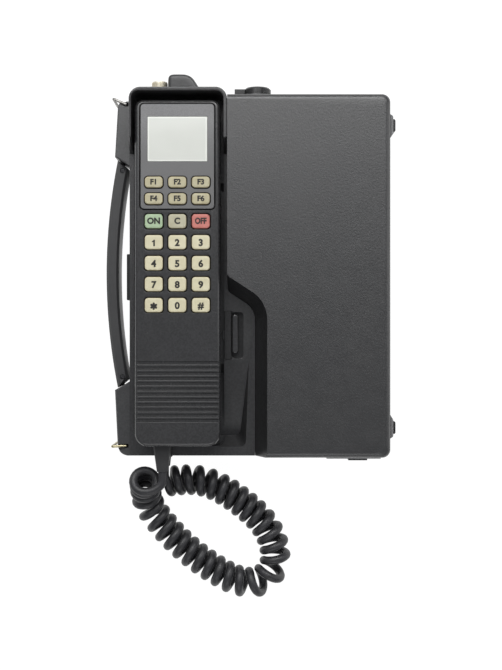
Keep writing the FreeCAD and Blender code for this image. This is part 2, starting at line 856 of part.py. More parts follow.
def power_socket():
    mouth = case_half_height + socket_boss_length - socket_recess
    body = barrel(socket_x, socket_height, socket_radius, mouth - socket_depth, mouth)
    hollow = barrel(socket_x, socket_height, socket_bore_radius, mouth - socket_depth + 2, mouth + 1)
    pin = barrel(socket_x, socket_height, socket_pin_radius, mouth - socket_depth, mouth - 1)
    return body.cut(hollow).fuse(pin).removeSplitter()


def power_cap():
    """Round rubber lid with the tab that it swings on."""
    seat = case_half_height + socket_boss_length + cap_gap
    lid = turned(socket_x, socket_height, [
        (cap_radius, seat), (cap_radius, seat + cap_thickness - cap_bevel),
        (cap_radius - cap_bevel, seat + cap_thickness),
    ])
    half = cap_tab_width / 2
    tab = box(cap_tab_left, seat, socket_height - half,
              socket_x, seat + cap_tab_thickness, socket_height + half)
    knuckle = box(cap_tab_left, case_half_height + cap_knuckle_reach, socket_height - half,
                  cap_tab_left + cap_knuckle_length, seat + cap_tab_thickness, socket_height + half)
    return lid.fuse(tab).fuse(knuckle).removeSplitter()


def foot_mount():
    wall = case_half_width
    plan = [
        (wall, foot_inner_y, 0), (wall + foot_rise, foot_inner_y + foot_inner_slope, 0),
        (wall + foot_rise, foot_outer_y - foot_outer_slope, 0), (wall, foot_outer_y, 0),
    ]
    return plan_block(plan, foot_low, foot_high)


def rubber_foot():
    seat = case_half_width + foot_rise
    plan = [
        (seat, pad_inner_y, 0), (seat + pad_thickness, pad_inner_y, pad_radius),
        (seat + pad_thickness, pad_outer_y, pad_radius), (seat, pad_outer_y, 0),
    ]
    return plan_block(plan, foot_low + pad_end_margin, foot_high - pad_end_margin)


def accessory_socket():
    face = -case_half_height - accessory_thickness
    low = accessory_low + accessory_socket_margin
    high = accessory_high - accessory_socket_margin
    block = box(accessory_socket_left, face - accessory_socket_reach, low,
                accessory_socket_right, face, high)
    return block.cut(box(
        accessory_socket_left + accessory_rim, face - accessory_socket_reach - 1, low + accessory_rim,
        accessory_socket_right - accessory_rim, face - accessory_socket_reach + accessory_recess,
        high - accessory_rim,
    ))


# Handset
def handset_plan():
    left = handset_mid_x - handset_half_width
    right = handset_mid_x + handset_half_width
    return [
        (left, handset_bottom_y, handset_foot_radius), (right, handset_bottom_y, handset_foot_radius),
        (right, handset_top_y, handset_corner_radius), (left, handset_top_y, handset_corner_radius),
    ]


def key_places():
    """Name, x, y and height of each key, from the top row down."""
    places = []
    for row in range(2):
        for column in range(key_columns):
            x = handset_mid_x + (column - 1) * key_pitch_x
            y = first_function_key_y - row * function_key_pitch
            name = "key_function_" + str(row * key_columns + column + 1)
            places.append((name, x, y, function_key_height))
    labels = ["send", "clear", "end", "1", "2", "3", "4", "5", "6", "7", "8", "9", "star", "0", "hash"]
    for i, label in enumerate(labels):
        x = handset_mid_x + (i % key_columns - 1) * key_pitch_x
        y = first_key_y - (i // key_columns) * key_pitch_y
        places.append(("key_" + label, x, y, key_height))
    return places


def key_outline(x, y, height, margin):
    half_width = key_width / 2 + margin
    half_height = height / 2 + margin
    return clipped_rectangle(x - half_width, y - half_height, x + half_width, y + half_height, key_corner)


def key_openings(height_wanted):
    """The holes for the keys of one height, through the face that they stand in."""
    holes = []
    for name, x, y, height in key_places():
        if height == height_wanted:
            plan = key_outline(x, y, height, key_clearance)
            holes.append(plan_block(plan, shell_ceiling - 1, plate_face + 1))
    return Part.makeCompound(holes)


def key(x, y, height, face):
    flange_half = key_width / 2 + key_flange_margin
    flange_reach = height / 2 + key_flange_margin
    flange = box(x - flange_half, y - flange_reach, key_flange_top - key_flange_thickness,
                 x + flange_half, y + flange_reach, key_flange_top)
    cap = bevelled_block(key_outline(x, y, height, 0), key_flange_top, face, 0, key_bevel)
    return flange.fuse(cap).removeSplitter()


def handset_front_shell():
    plan = handset_plan()
    shell = stacked([
        (handset_seam_height, plan), (handset_face_height - handset_edge_drop, plan),
        (handset_face_height, shrunk(plan, handset_edge_run)),
    ])
    shell = shell.cut(plan_block(shrunk(plan, handset_wall), handset_seam_height - 1, shell_ceiling))
    pocket = display_outline(-plate_clearance)
    shell = shell.cut(plan_block(pocket, plate_seat, handset_face_height + 1))
    opening = rectangle(handset_mid_x - plate_half_width + plate_ledge, plate_bottom_y + plate_ledge,
                        handset_mid_x + plate_half_width - plate_ledge, plate_top_y - plate_ledge)
    shell = shell.cut(plan_block(opening, shell_ceiling - 1, plate_seat + 1))
    shell = shell.cut(key_openings(key_height))
    grooves = []
    for i in range(rib_count + 1):
        y = first_rib_y + rib_pitch / 2 - i * rib_pitch
        grooves.append(box(
            handset_mid_x - handset_half_width - 1, y - rib_groove_width / 2,
            handset_face_height - rib_groove_depth, handset_mid_x + handset_half_width + 1,
            y + rib_groove_width / 2, handset_face_height + 1,
        ))
    return shell.cut(Part.makeCompound(grooves))


def underside(bottom, top, well, crest, well_floor, crest_floor, seam, radius):
    """Side outline of the handset's back: a mouthpiece end, a raised grip, an earpiece end."""
    return [
        (bottom, seam, 0), (bottom, well_floor, radius), (-well, well_floor, 0), (-crest, crest_floor, 0),
        (crest, crest_floor, 0), (well, well_floor, 0), (top, well_floor, radius), (top, seam, 0),
    ]


def handset_rear_shell():
    plan = handset_plan()
    body = stacked([
        (handset_back_height, shrunk(plan, handset_flank_lean)), (handset_seam_height, plan),
    ])
    well = grip_half_length + grip_rise
    outer = underside(handset_bottom_y, handset_top_y, well, grip_half_length, handset_back_height,
                      handset_back_height + grip_rise, handset_seam_height, handset_end_radius)
    body = body.common(side_block(outer, recess_left, recess_right))
    inner = underside(handset_bottom_y + handset_wall, handset_top_y - handset_wall, well + 1,
                      grip_half_length + 1, handset_back_height + handset_wall,
                      handset_back_height + grip_rise + handset_wall, handset_seam_height + 1, 0)
    half = handset_half_width - handset_wall - handset_flank_lean
    return body.cut(side_block(inner, handset_mid_x - half, handset_mid_x + half))


def display_outline(inset):
    plan = rectangle(handset_mid_x - plate_half_width, plate_bottom_y,
                     handset_mid_x + plate_half_width, plate_top_y, plate_corner)
    return shrunk(plan, inset)


def window_outline(inset):
    plan = rectangle(handset_mid_x - window_half_width, window_bottom_y,
                     handset_mid_x + window_half_width, window_top_y)
    return shrunk(plan, inset)


def display_bezel():
    plate = plan_block(display_outline(0), plate_seat, plate_face)
    plate = plate.cut(plan_block(window_outline(0), plate_seat - 1, plate_face + 1))
    return plate.cut(key_openings(function_key_height))


def keypad_mat():
    rows = [y for name, x, y, height in key_places()]
    half = key_pitch_x + key_width / 2
    bottom = min(rows) - key_height / 2 - mat_margin / 2
    top = max(rows) + function_key_height / 2 + mat_margin
    return box(handset_mid_x - half, bottom, board_top, handset_mid_x + half, top, mat_top)


# Curly cord
def axis_arc(index):
    """Start, control and end of one parabolic arc of the coil's middle line."""
    points = [vec(boot_x + u, boot_tip_y + v, z) for u, v, z in cord_axis]
    last = len(points) - 3
    start = points[0] if index == 0 else (points[index] + points[index + 1]) * 0.5
    end = points[-1] if index == last else (points[index + 1] + points[index + 2]) * 0.5
    return start, points[index + 1], end


def walk_axis():
    """Steps along the middle line: position, direction, sideways vector and turns so far."""
    arcs = len(cord_axis) - 2
    steps = []
    side = vec(1, 0, 0)
    turns = 0.0
    before = None
    for n in range(arcs * walk_steps + 1):
        index = min(n // walk_steps, arcs - 1)
        share = n / walk_steps - index
        start, control, end = axis_arc(index)
        place = start * (1 - share) ** 2 + control * (2 * share * (1 - share)) + end * share ** 2
        speed = (control - start) * (2 - 2 * share) + (end - control) * (2 * share)
        bend = (start - control * 2 + end) * 2
        curvature = speed.cross(bend).Length / speed.Length ** 3
        heading = speed / speed.Length
        side = side - heading * side.dot(heading)
        side.normalize()
        if before:
            pitch = first_pitch + (last_pitch - first_pitch) * n / (arcs * walk_steps)
            pitch = max(pitch, inner_spacing / (1 - coil_radius * curvature))
            turns += (place - before).Length / pitch
        before = place
        steps.append((place, heading, vec(side), turns))
    return steps


def coil_points(per_turn):
    """Points of the wire and their directions, at an even count to the turn."""
    steps = walk_axis()
    place, heading, side, turns = steps[-1]
    across = heading.cross(side)
    leave_on_top = math.atan2(across.z, side.z) / (2 * math.pi) % 1
    whole = round(turns - leave_on_top) + leave_on_top
    stretches = round((whole - lead_turn) * per_turn)
    points = []
    at = 0
    for n in range(stretches + 1):
        mark = lead_turn + (whole - lead_turn) * n / stretches
        wanted = mark * turns / whole
        while at < len(steps) - 2 and steps[at + 1][3] < wanted:
            at += 1
        early = steps[at]
        late = steps[at + 1]
        share = (wanted - early[3]) / (late[3] - early[3])
        place = early[0] + (late[0] - early[0]) * share
        heading = early[1] + (late[1] - early[1]) * share
        heading.normalize()
        side = early[2] - heading * early[2].dot(heading)
        side.normalize()
        across = heading.cross(side)
        turn = 2 * math.pi * mark
        radial = side * math.cos(turn) + across * math.sin(turn)
        ahead = across * math.cos(turn) - side * math.sin(turn)
        advance = (late[0] - early[0]).Length / ((late[3] - early[3]) * 2 * math.pi)
        along = ahead * coil_radius + heading * advance
        along.normalize()
        points.append((place + radial * coil_radius, along))
    return points


def biarc(start, along_start, end, along_end):
    """Two tangent arcs from one point and direction to another, as (start, middle, end) points."""
    gap = end - start
    both = along_start + along_end
    spread = 2 * (1 - along_start.dot(along_end))
    reach = (math.sqrt(gap.dot(both) ** 2 + spread * gap.dot(gap)) - gap.dot(both)) / spread
    knee = (start + along_start * reach + end - along_end * reach) * 0.5
    arcs = []
    for first, apex, last in (
        (start, start + along_start * reach, knee), (knee, end - along_end * reach, end),
    ):
        middle = (first + last) * 0.5
        half_chord = (last - first).Length / 2
        rise = apex - middle
        half_turn = math.atan2(rise.Length, half_chord)
        rise.normalize()
        arcs.append((first, middle + rise * half_chord * math.tan(half_turn / 2), last,
                     half_chord / math.sin(half_turn)))
    return arcs


def cord_stops(per_turn):
    """The whole wire: a straight lead at the boot, the coil, and a straight lead at the gland."""
    boot_end = vec(boot_x, boot_tip_y, handset_seam_height)
    gland_end = vec(gland_x, -case_half_height - gland_length, gland_height)
    outward = vec(0, -1, 0)
    stops = [(boot_end + outward * wire_diameter, outward)]
    stops += coil_points(per_turn)
    stops.append((gland_end + outward * wire_diameter, vec(0, 1, 0)))
    return boot_end, stops, gland_end


def curly_cord():
    boot_end, stops, gland_end = cord_stops(2)
    edges = [Part.makeLine(boot_end, stops[0][0])]
    radii = []
    for (start, along_start), (end, along_end) in zip(stops, stops[1:]):
        for first, middle, last, radius in biarc(start, along_start, end, along_end):
            edges.append(Part.Arc(first, middle, last).toShape())
            radii.append(radius)
    edges.append(Part.makeLine(stops[-1][0], gland_end))
    path = Part.Wire(edges)
    section = []
    for i in range(wire_sides + 1):
        around = 2 * math.pi * i / wire_sides
        section.append(boot_end + vec(math.cos(around), 0, math.sin(around)) * (wire_diameter / 2))
    sweep = Part.BRepOffsetAPI.MakePipeShell(path)
    sweep.add(Part.makePolygon(section))
    sweep.build()
    sweep.makeSolid()
    cord = sweep.shape()
    points = path.discretize(Distance=0.7)
    gap = nearest_approach(points, 0.7)
    area = 0.5 * wire_sides * (wire_diameter / 2) ** 2 * math.sin(2 * math.pi / wire_sides)
    print("cord length", round(path.Length, 1), "curls", round(len(stops) / 2, 1))
    print("cord tightest radius", round(min(radii), 2), "least gap to itself", round(gap, 2))
    print("cord volume over section times length", round(cord.Volume / (area * path.Length), 3))
    print("cord lowest point", round(min(p.z for p in points) - wire_diameter / 2, 2))
    return cord


def nearest_approach(points, spacing):
    """The least gap between stretches of the wire that are a quarter turn or more apart."""
    skip = round(2.2 * coil_radius / spacing)
    cell = 8.0
    grid = {}
    for i, p in enumerate(points):
        grid.setdefault((int(p.x // cell), int(p.y // cell), int(p.z // cell)), []).append(i)
    least = cell
    for (a, b, c), members in grid.items():
        near = []
        for da in (-1, 0, 1):
            for db in (-1, 0, 1):
                for dc in (-1, 0, 1):
                    near += grid.get((a + da, b + db, c + dc), [])
        for i in members:
            for j in near:
                if j - i > skip:
                    least = min(least, (points[i] - points[j]).Length)
    return least - wire_diameter


# Nodes of the case and its fittings
keep("rear_housing", rear_housing())
keep("front_housing", front_housing())
keep("cradle_tray", cradle_tray())
keep("cradle_hood", cradle_hood())
keep("side_bracket_upper", side_bracket(
    bracket_corners(), handle_mid_y + bracket_mouth_inner - 1, handle_mid_y + strip_end + 2,
    upper_ring_pivot_y, upper_ring_angle, upper_ring_swing))
keep("side_bracket_lower", side_bracket(
    lower_bracket_corners(), handle_mid_y - bracket_mouth_inner + 1, handle_mid_y - strip_end - 2,
    lower_ring_pivot_y, lower_ring_angle, lower_ring_swing))
keep("handle_grip", handle_grip())
keep("handle_pins", handle_pin(1), handle_pin(-1))
keep("handle_strips", handle_strip(1), handle_strip(-1))
keep("handle_rest_pad", box(-case_half_width - rest_pad_thickness, rest_pad_bottom_y, rest_pad_low,
                            -case_half_width, rest_pad_top_y, rest_pad_high))
keep("strap_ring_upper", strap_ring(upper_ring_pivot_y, upper_ring_angle))
keep("strap_ring_lower", strap_ring(lower_ring_pivot_y, lower_ring_angle))
keep("antenna_jack", antenna_jack())
jack_floor = hood_top_y + jack_length - jack_bore_depth
insulator_face = jack_floor + jack_insulator_thickness
keep("antenna_insulator", barrel(jack_x, jack_height, jack_bore_radius - 0.05, jack_floor, insulator_face))
keep("antenna_contact", barrel(jack_x, jack_height, jack_contact_radius, insulator_face,
                               insulator_face + jack_contact_length))
keep("antenna_guard", antenna_guard())
keep("power_socket", power_socket())
keep("power_cap", power_cap())
keep("foot_mounts", foot_mount(), mirrored_in_y(foot_mount()))
keep("rubber_feet", rubber_foot(), mirrored_in_y(rubber_foot()))
keep("accessory_plate", box(accessory_left, -case_half_height - accessory_thickness, accessory_low,
                            accessory_right, -case_half_height, accessory_high))
keep("accessory_socket", accessory_socket())
chassis_top = case_wall + chassis_depth
keep("transceiver_chassis", box(chassis_left, chassis_bottom_y, case_wall,
                                chassis_right, chassis_top_y, chassis_top))
keep("logic_board", box(chassis_left + logic_board_margin, chassis_bottom_y + logic_board_margin,
                        chassis_top, chassis_right - logic_board_margin,
                        chassis_top_y - logic_board_margin, chassis_top + board_thickness))
keep("battery_pack", box(battery_left, battery_bottom_y, case_wall,
                         chassis_right, battery_top_y, case_wall + battery_depth))
keep("latch_plate", latch_plate())
keep("latch_slider", latch_slider())

# Nodes of the handset
keep("handset_front_shell", handset_front_shell())
keep("handset_rear_shell", handset_rear_shell())
keep("display_bezel", display_bezel())
keep("lcd_window", plan_block(window_outline(window_inset), plate_seat, plate_face - 2 * window_inset))
module_margin = 1.0
keep("lcd_module", box(handset_mid_x - window_half_width - module_margin, window_bottom_y - module_margin,
                       board_top, handset_mid_x + window_half_width + module_margin,
                       window_top_y + module_margin, plate_seat - window_inset))
keep("keypad_mat", keypad_mat())
board_half = handset_half_width - handset_wall - 3
keep("handset_board", box(handset_mid_x - board_half, -grip_half_length, board_top - board_thickness,
                          handset_mid_x + board_half, plate_top_y - 1, board_top))
capsule_seat = handset_back_height + handset_wall
keep("earpiece", post(handset_mid_x, earpiece_y, earpiece_radius,
                      capsule_seat, capsule_seat + earpiece_depth))
keep("microphone", post(handset_mid_x, microphone_y, microphone_radius,
                        capsule_seat, capsule_seat + microphone_depth))
for key_name, key_x, key_y, height in key_places():
    raised = plate_proud if height == function_key_height else 0
    keep(key_name, key(key_x, key_y, height, key_top + raised))

# Nodes of the cord
keep("cord_boot", tapered(boot_x, handset_seam_height, boot_edge, [
    (handset_bottom_y - run, wide, high) for run, wide, high in boot_sections]))
gland_tip_y = -case_half_height - gland_length
flange_y = -case_half_height - gland_flange_thickness
gland_flange = tapered(gland_x, gland_height, gland_edge, [
    (-case_half_height, gland_flange_half, gland_flange_half),
    (flange_y, gland_flange_half, gland_flange_half)])
keep("cord_gland", gland_flange.fuse(tapered(gland_x, gland_height, gland_edge, [
    (flange_y, gland_root_half, gland_root_half), (gland_tip_y, gland_tip_half, gland_tip_half)])))
keep("curly_cord", curly_cord())
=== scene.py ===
import json
import math
import bmesh
import bpy
from mathutils import Matrix, Vector
from mathutils.kdtree import KDTree

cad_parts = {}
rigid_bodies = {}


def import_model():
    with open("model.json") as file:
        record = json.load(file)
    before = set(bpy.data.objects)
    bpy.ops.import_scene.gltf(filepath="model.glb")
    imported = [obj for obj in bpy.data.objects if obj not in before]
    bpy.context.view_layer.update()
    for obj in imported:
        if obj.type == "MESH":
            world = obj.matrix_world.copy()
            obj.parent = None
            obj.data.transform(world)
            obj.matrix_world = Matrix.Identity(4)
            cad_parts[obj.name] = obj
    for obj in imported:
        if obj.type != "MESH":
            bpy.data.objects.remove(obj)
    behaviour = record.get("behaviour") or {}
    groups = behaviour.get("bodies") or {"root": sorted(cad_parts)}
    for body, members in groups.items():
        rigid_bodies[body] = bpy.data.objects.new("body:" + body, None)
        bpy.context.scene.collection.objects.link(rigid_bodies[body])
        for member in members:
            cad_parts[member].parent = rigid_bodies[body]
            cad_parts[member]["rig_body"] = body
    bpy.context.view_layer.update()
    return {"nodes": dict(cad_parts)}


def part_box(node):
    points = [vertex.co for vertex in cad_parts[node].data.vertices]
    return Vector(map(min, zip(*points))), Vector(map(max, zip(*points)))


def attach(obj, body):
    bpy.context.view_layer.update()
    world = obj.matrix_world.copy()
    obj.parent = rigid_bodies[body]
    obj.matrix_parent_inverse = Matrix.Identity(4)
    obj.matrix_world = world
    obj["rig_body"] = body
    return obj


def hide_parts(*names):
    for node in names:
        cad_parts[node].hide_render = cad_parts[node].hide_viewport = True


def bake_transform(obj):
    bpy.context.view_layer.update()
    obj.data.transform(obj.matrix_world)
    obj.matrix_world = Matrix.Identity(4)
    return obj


# A hard-cased transportable telephone on a pale floor, seen from straight above.
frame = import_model()

MM = 0.001


def mm(x, y, z):
    return Vector((x, y, z)) * MM


# Camera, from the photograph's height in pixels
PHOTO_HEIGHT = 670
CAMERA_PLACE = mm(-4.8, -35.9, 800.0)
FOCAL_PIXELS = 1233.0

# Curly cord, in millimetres: the same coil as in the model, its route measured in plan from the boot's tip
WIRE_DIAMETER = 5.4
COIL_RADIUS = 7.2
FIRST_PITCH = 7.5
LAST_PITCH = 6.15
INNER_SPACING = 6.2
LEAD_TURN = 0.25
CORD_AXIS = [
    (-11.0, -5.2, 38.0), (-11.5, -7.7, 28.0), (-12.0, -23.2, 11.0), (2.0, -41.7, 10.05),
    (16.5, -55.2, 10.05), (31.5, -65.7, 10.05), (45.5, -73.2, 10.05), (60.0, -74.7, 10.05),
    (70.5, -64.2, 10.05), (70.0, -49.7, 10.05), (64.0, -36.7, 10.05), (54.0, -26.7, 10.05),
    (41.5, -17.2, 10.05), (27.5, -9.7, 10.05), (13.5, -7.6, 10.05), (1.5, -9.4, 10.05),
]
STEPS_PER_SPAN = 60
POINTS_PER_TURN = 26
SAME_PLACE = 1e-7

# Strap rings, bent from wire: node, pivot and angle of the legs
RINGS = (("strap_ring_upper", (-82.2, 107.6), 156.0), ("strap_ring_lower", (-82.2, -104.9), 183.7))
RING_WIRE_RADIUS = 0.85
RING_LEG = 9.2
RING_FRONT = 31.0
RING_BACK = 3.0
RING_PIN = 6.0
RING_BEND = 1.5
RING_FINISH = {"strap_ring_upper": "dulled", "strap_ring_lower": "brass"}

# Handle strips, by distance from the handle's middle: their ends inside the grip and inside the bracket
HANDLE_MID_Y = 2.4
STRIP_SPAN = (56.0, 86.0)
STRIP_SEGMENTS = 40

# Thread on the antenna connector, with its radii, from the open end down
THREAD_RECESS = 0.5
THREAD_LENGTH = 5.4
THREAD_LEAD = 0.3
THREAD_TURNS = 9
THREAD_PITCH = 0.58
CREST_FLAT = 0.14
CREST_RADIUS = 5.02
ROOT_RADIUS = 4.78
END_RADIUS = 4.72
BORE_RADIUS = 4.5

# Handset's front rim, which rounds over from the face to the side
RIM_RUN = 2.6
RIM_DROP = 2.8
RIM_TOP_CORNER = 5.5
RIM_FOOT_CORNER = 8.0
RIM_STEPS = 7
RIM_SLACK = 0.35

# Moulded edges, polished by handling and painted lighter as a highlight
WORN_HIGHLIT_EDGE_NAME = "worn_edge"

# Antenna guard's rounding
PILLOW_VOXEL = 0.55
PILLOW_ROUNDS = 36

# Clean-up of meshes: how near two corners count as one, and how flat a crease counts as none
NODE_WELD = 0.002
WELD = 0.001
FLAT_DEGREES = 0.8

# Heights of the handset's face and of the display plate, and the dark gaps of painted shade and the glass
# edge of painted highlight let into them
HANDSET_FACE = 50.0
PLATE_FACE = 50.25
GAP_DEPTH = 0.4
GAP_PROUD = 0.03
GAP_SHADE_PROUD = 0.04
BORDER_DEPTH = 0.1

# Outlines of the painted shade round the display plate and of the painted highlight inside its glass: how far
# outside the node's box, and corner radius
GAP_SHADE_OUTER = (0.95, 2.95)
GAP_SHADE_INNER = (-0.1, 1.9)
BORDER_OUTER = (-0.15, 0.6)
BORDER_INNER = (-1.0, 0.4)

# Painted shade on the display plate: its grey darkens between these distances below its top edge, as the
# light from above falls off
BEZEL_PAINTED_SHADE = (9.0, 32.0)

# Keys
KEY_WIDTH = 11.0
KEY_HEIGHT = 8.8
FUNCTION_KEY_HEIGHT = 6.8
KEY_CORNER = 2.1
KEY_EDGE = 0.8
KEY_EDGE_NAME = "key_edge"
KEY_EDGE_TOP = 0.3
KEY_LAND = 1.3
KEY_DISH = 0.12
KEY_GAP = 0.6
KEY_CLEARANCE = 0.04
KEY_FINISH = {"send": "green", "clear": "stone", "end": "red"}

# Legends: what is not a plain digit, and size and drop below the key's middle for each kind of key
LEGEND_TEXT = {"star": "*", "hash": "#", "send": "ON", "clear": "C", "end": "OFF"}
LEGEND_FIT = {"star": (8.5, 2.4), "function": (4.5, 0.0), "word": (5.0, 0.0), "digit": (5.6, 0.5)}
LONG_WORD_WIDTH = 0.8
LEGEND_LIFT = 0.03
LEGEND_THICKNESS = 0.04
LEGEND_WEIGHT = 0.048
DIGIT_ONE = [(0.75, -1.95), (0.75, 1.95), (-0.05, 1.95), (-0.35, 1.45), (-1.1, 1.1), (-1.1, 0.3),
             (-0.25, 0.75), (-0.25, -1.95)]

# Floor and light, in metres and watts: name, place, aim, width, height and power
FLOOR_REACH = 3.0
FLOOR_DROP = 0.05
FLOOR_TONE = (0.86, 0.86, 0.86, 1.0)
FLOOR_GLOW = 1.12
FLOOR_GLOW_SHARE = 0.88
ROOM_TINT = (0.93, 0.95, 1.0, 1.0)
ROOM_LEVEL = 0.32
LIGHTS = (
    ("upper_softbox", (-0.05, 0.52, 0.85), (0.0, 0.05, 0.0), 1.2, 0.6, 6.2),
    ("edge_strip", (0.0, 0.85, 0.75), (0.0, 0.0, 0.03), 1.4, 0.12, 5.0),
    ("left_softbox", (-0.95, 0.35, 0.6), (0.0, 0.0, 0.0), 0.5, 0.7, 0.4),
    ("right_softbox", (1.0, 0.15, 0.45), (0.0, 0.0, 0.0), 0.4, 0.9, 1.6),
    ("lower_fill", (0.0, -0.85, 0.65), (0.0, 0.0, 0.0), 0.8, 0.3, 1.6),
)


# Shader arithmetic
class Wire:
    """A value that runs through a material's nodes."""

    def __init__(self, finish, socket):
        self.finish = finish
        self.socket = socket

    def _join(self, operation, first, second):
        made = self.finish.node("ShaderNodeMath", {"operation": operation}, {0: first, 1: second})
        return Wire(self.finish, made.outputs[0])

    def __add__(self, other):
        return self._join("ADD", self, other)

    def __sub__(self, other):
        return self._join("SUBTRACT", self, other)

    def __rsub__(self, other):
        return self._join("SUBTRACT", other, self)

    def __mul__(self, other):
        return self._join("MULTIPLY", self, other)

    __radd__ = __add__
    __rmul__ = __mul__

    def above(self, limit):
        return self._join("GREATER_THAN", self, limit)


class Finish:
    """A material under construction, ending in one principled shader."""

    def __init__(self, name, **shader):
        self.material = bpy.data.materials.new(name)
        self.material.use_nodes = True
        self.tree = self.material.node_tree
        self.tree.nodes.clear()
        self.shader = self.node("ShaderNodeBsdfPrincipled", {}, {})
        output = self.node("ShaderNodeOutputMaterial", {}, {})
        self.tree.links.new(self.shader.outputs[0], output.inputs["Surface"])
        self.place = Wire(self, self.node("ShaderNodeTexCoord", {}, {}).outputs["Object"])
        for socket, value in shader.items():
            self.feed(socket.replace("_", " "), value)

    def node(self, kind, settings, values):
        made = self.tree.nodes.new(kind)
        for name, value in settings.items():
            if name == "stops":
                self._set_stops(made.color_ramp.elements, value)
            else:
                setattr(made, name, value)
        for name, value in values.items():
            self._set_socket(made.inputs[name], value)
        return made

    def _set_stops(self, elements, stops):
        while len(elements) < len(stops):
            elements.new(0.5)
        for element, (position, tone) in zip(elements, stops):
            element.position = position
            element.color = (tone, tone, tone, 1.0)

    def _set_socket(self, socket, value):
        if isinstance(value, Wire):
            self.tree.links.new(value.socket, socket)
        else:
            socket.default_value = value

    def feed(self, socket, value):
        self._set_socket(self.shader.inputs[socket], value)

    def noise(self, size_mm, detail=2.0, roughness=0.5):
        """Soft noise whose features are about size_mm across."""
        made = self.node("ShaderNodeTexNoise", {}, {
            "Vector": self.place, "Scale": 1.0 / (size_mm * MM), "Detail": detail, "Roughness": roughness})
        return Wire(self, made.outputs[0])

    def cells(self, size_mm):
        """Distance from the nearest of many scattered points, about size_mm apart."""
        made = self.node("ShaderNodeTexVoronoi", {}, {"Vector": self.place, "Scale": 1.0 / (size_mm * MM)})
        return Wire(self, made.outputs["Distance"])

    def own(self, name):
        """A value that the piece itself carries, from 0 to 1."""
        return Wire(self, self.node("ShaderNodeAttribute", {"attribute_name": name}, {}).outputs["Fac"])

    def down(self, first, last):
        """A value along the object's length: 0 above first, 1 below last, and even steps between them."""
        length = Wire(self, self.node("ShaderNodeSeparateXYZ", {}, {"Vector": self.place}).outputs["Y"])
        made = self.node("ShaderNodeMapRange", {}, {"Value": length, "From Min": first, "From Max": last})
        return Wire(self, made.outputs["Result"])

    def ramp(self, factor, stops):
        return Wire(self, self.node("ShaderNodeValToRGB", {"stops": stops}, {"Fac": factor}).outputs[0])

    def mix(self, factor, first, second):
        made = self.node("ShaderNodeMix", {"data_type": "RGBA"}, {})
        for index, value in ((0, factor), (6, first), (7, second)):
            self._set_socket(made.inputs[index], value)
        return Wire(self, made.outputs[2])

    def bump(self, height, depth_mm):
        made = self.node("ShaderNodeBump", {}, {
            "Strength": 1.0, "Distance": depth_mm * MM, "Height": height})
        self.feed("Normal", Wire(self, made.outputs[0]))


def grey(level, tint=(0.0, 0.0, 0.0)):
    """A grey from an eight-bit screen level, with a slight tint in the same steps."""
    return shade(*(level + step for step in tint))


def shade(red, green, blue):
    """A colour from eight-bit screen levels, as the shader wants it."""
    linear = []
    for value in (red, green, blue):
        part = value / 255
        linear.append(part / 12.92 if part <= 0.04045 else ((part + 0.055) / 1.055) ** 2.4)
    return (*linear, 1.0)


# Finishes
def moulded_plastic(name, level, grain_mm, depth_mm, roughness=0.5, dust=0.5, mottle_depth=5, sheen=0.5,
                    painted_shade_down=None):
    """Spark-textured moulding with faint mottling, rubbed patches, polished edges painted lighter as a
    highlight, specks of dust, and, where given, painted shade darkening it towards the bottom.
    """
    finish = Finish(name, Specular_IOR_Level=sheen)
    mottle = finish.noise(26.0, detail=4.0, roughness=0.6)
    rubbed = finish.noise(70.0, detail=3.0)
    pebble = finish.noise(grain_mm * 2.2, detail=3.0, roughness=0.7)
    colour = finish.mix(mottle, grey(level - mottle_depth), grey(level + mottle_depth, (0, 0, 2)))
    pits = finish.ramp(pebble, [(0.42, 0.5), (0.58, 0.0)])
    colour = finish.mix(pits, colour, grey(max(level - 22, 8)))
    patches = finish.ramp(rubbed, [(0.5, 0.0), (0.78, 0.35)])
    colour = finish.mix(patches, colour, grey(level + 12, (1, 0, -1)))
    # Painted shade: where given, the colour darkens towards the bottom of the piece, as the light from above
    # falls off
    if painted_shade_down:
        colour = finish.mix(finish.down(*painted_shade_down) * 0.8, colour, grey(level - 26))
    dusty = finish.noise(60.0).above(0.56)
    specks = finish.ramp(finish.cells(7.0), [(0.0, 1.0), (0.045, 0.0)]) * dusty
    # Painted highlight: the rounded edges are lightened in colour; their lower roughness is the real polish
    worn_highlit = finish.own(WORN_HIGHLIT_EDGE_NAME)
    colour = finish.mix(worn_highlit * 0.5, colour, grey(level + 16))
    finish.feed("Base Color", finish.mix(specks * dust, colour, grey(level + 70)))
    uneven = finish.noise(9.0) * (0.36 * roughness) + 0.82 * roughness
    finish.feed("Roughness", uneven - worn_highlit * (0.45 * roughness))
    finish.bump(finish.noise(grain_mm, detail=3.0, roughness=0.62) * 0.6 + pebble, depth_mm)
    return finish.material


def soft_rubber(name, level, grain_mm=0.9, roughness=0.55):
    """Matt rubber with a slight bloom and fine pores."""
    finish = Finish(name)
    bloom = finish.noise(14.0, detail=5.0, roughness=0.65)
    finish.feed("Base Color", finish.mix(bloom, grey(level - 5), grey(level + 7, (0, 0, 1))))
    finish.feed("Roughness", bloom * 0.2 + (roughness - 0.1))
    finish.bump(finish.noise(grain_mm, detail=3.0), 0.035)
    return finish.material


def shadow_gap():
    """The unlit bottom of a joint between two mouldings."""
    finish = Finish("shadow_gap", Specular_IOR_Level=0.05)
    dust = finish.noise(3.0, detail=3.0)
    finish.feed("Base Color", finish.mix(dust, grey(9), grey(24)))
    finish.feed("Roughness", dust * 0.1 + 0.85)
    return finish.material


def cord_vinyl():
    """Near-black cord jacket with a satin sheen and a faint drag from the extruder."""
    finish = Finish("cord_vinyl", Specular_IOR_Level=0.55)
    wear = finish.noise(6.0, detail=4.0)
    finish.feed("Base Color", finish.mix(wear, grey(34), grey(46, (0, 0, 4))))
    finish.feed("Roughness", wear * 0.18 + 0.36)
    finish.bump(finish.noise(0.5, detail=2.0), 0.012)
    return finish.material


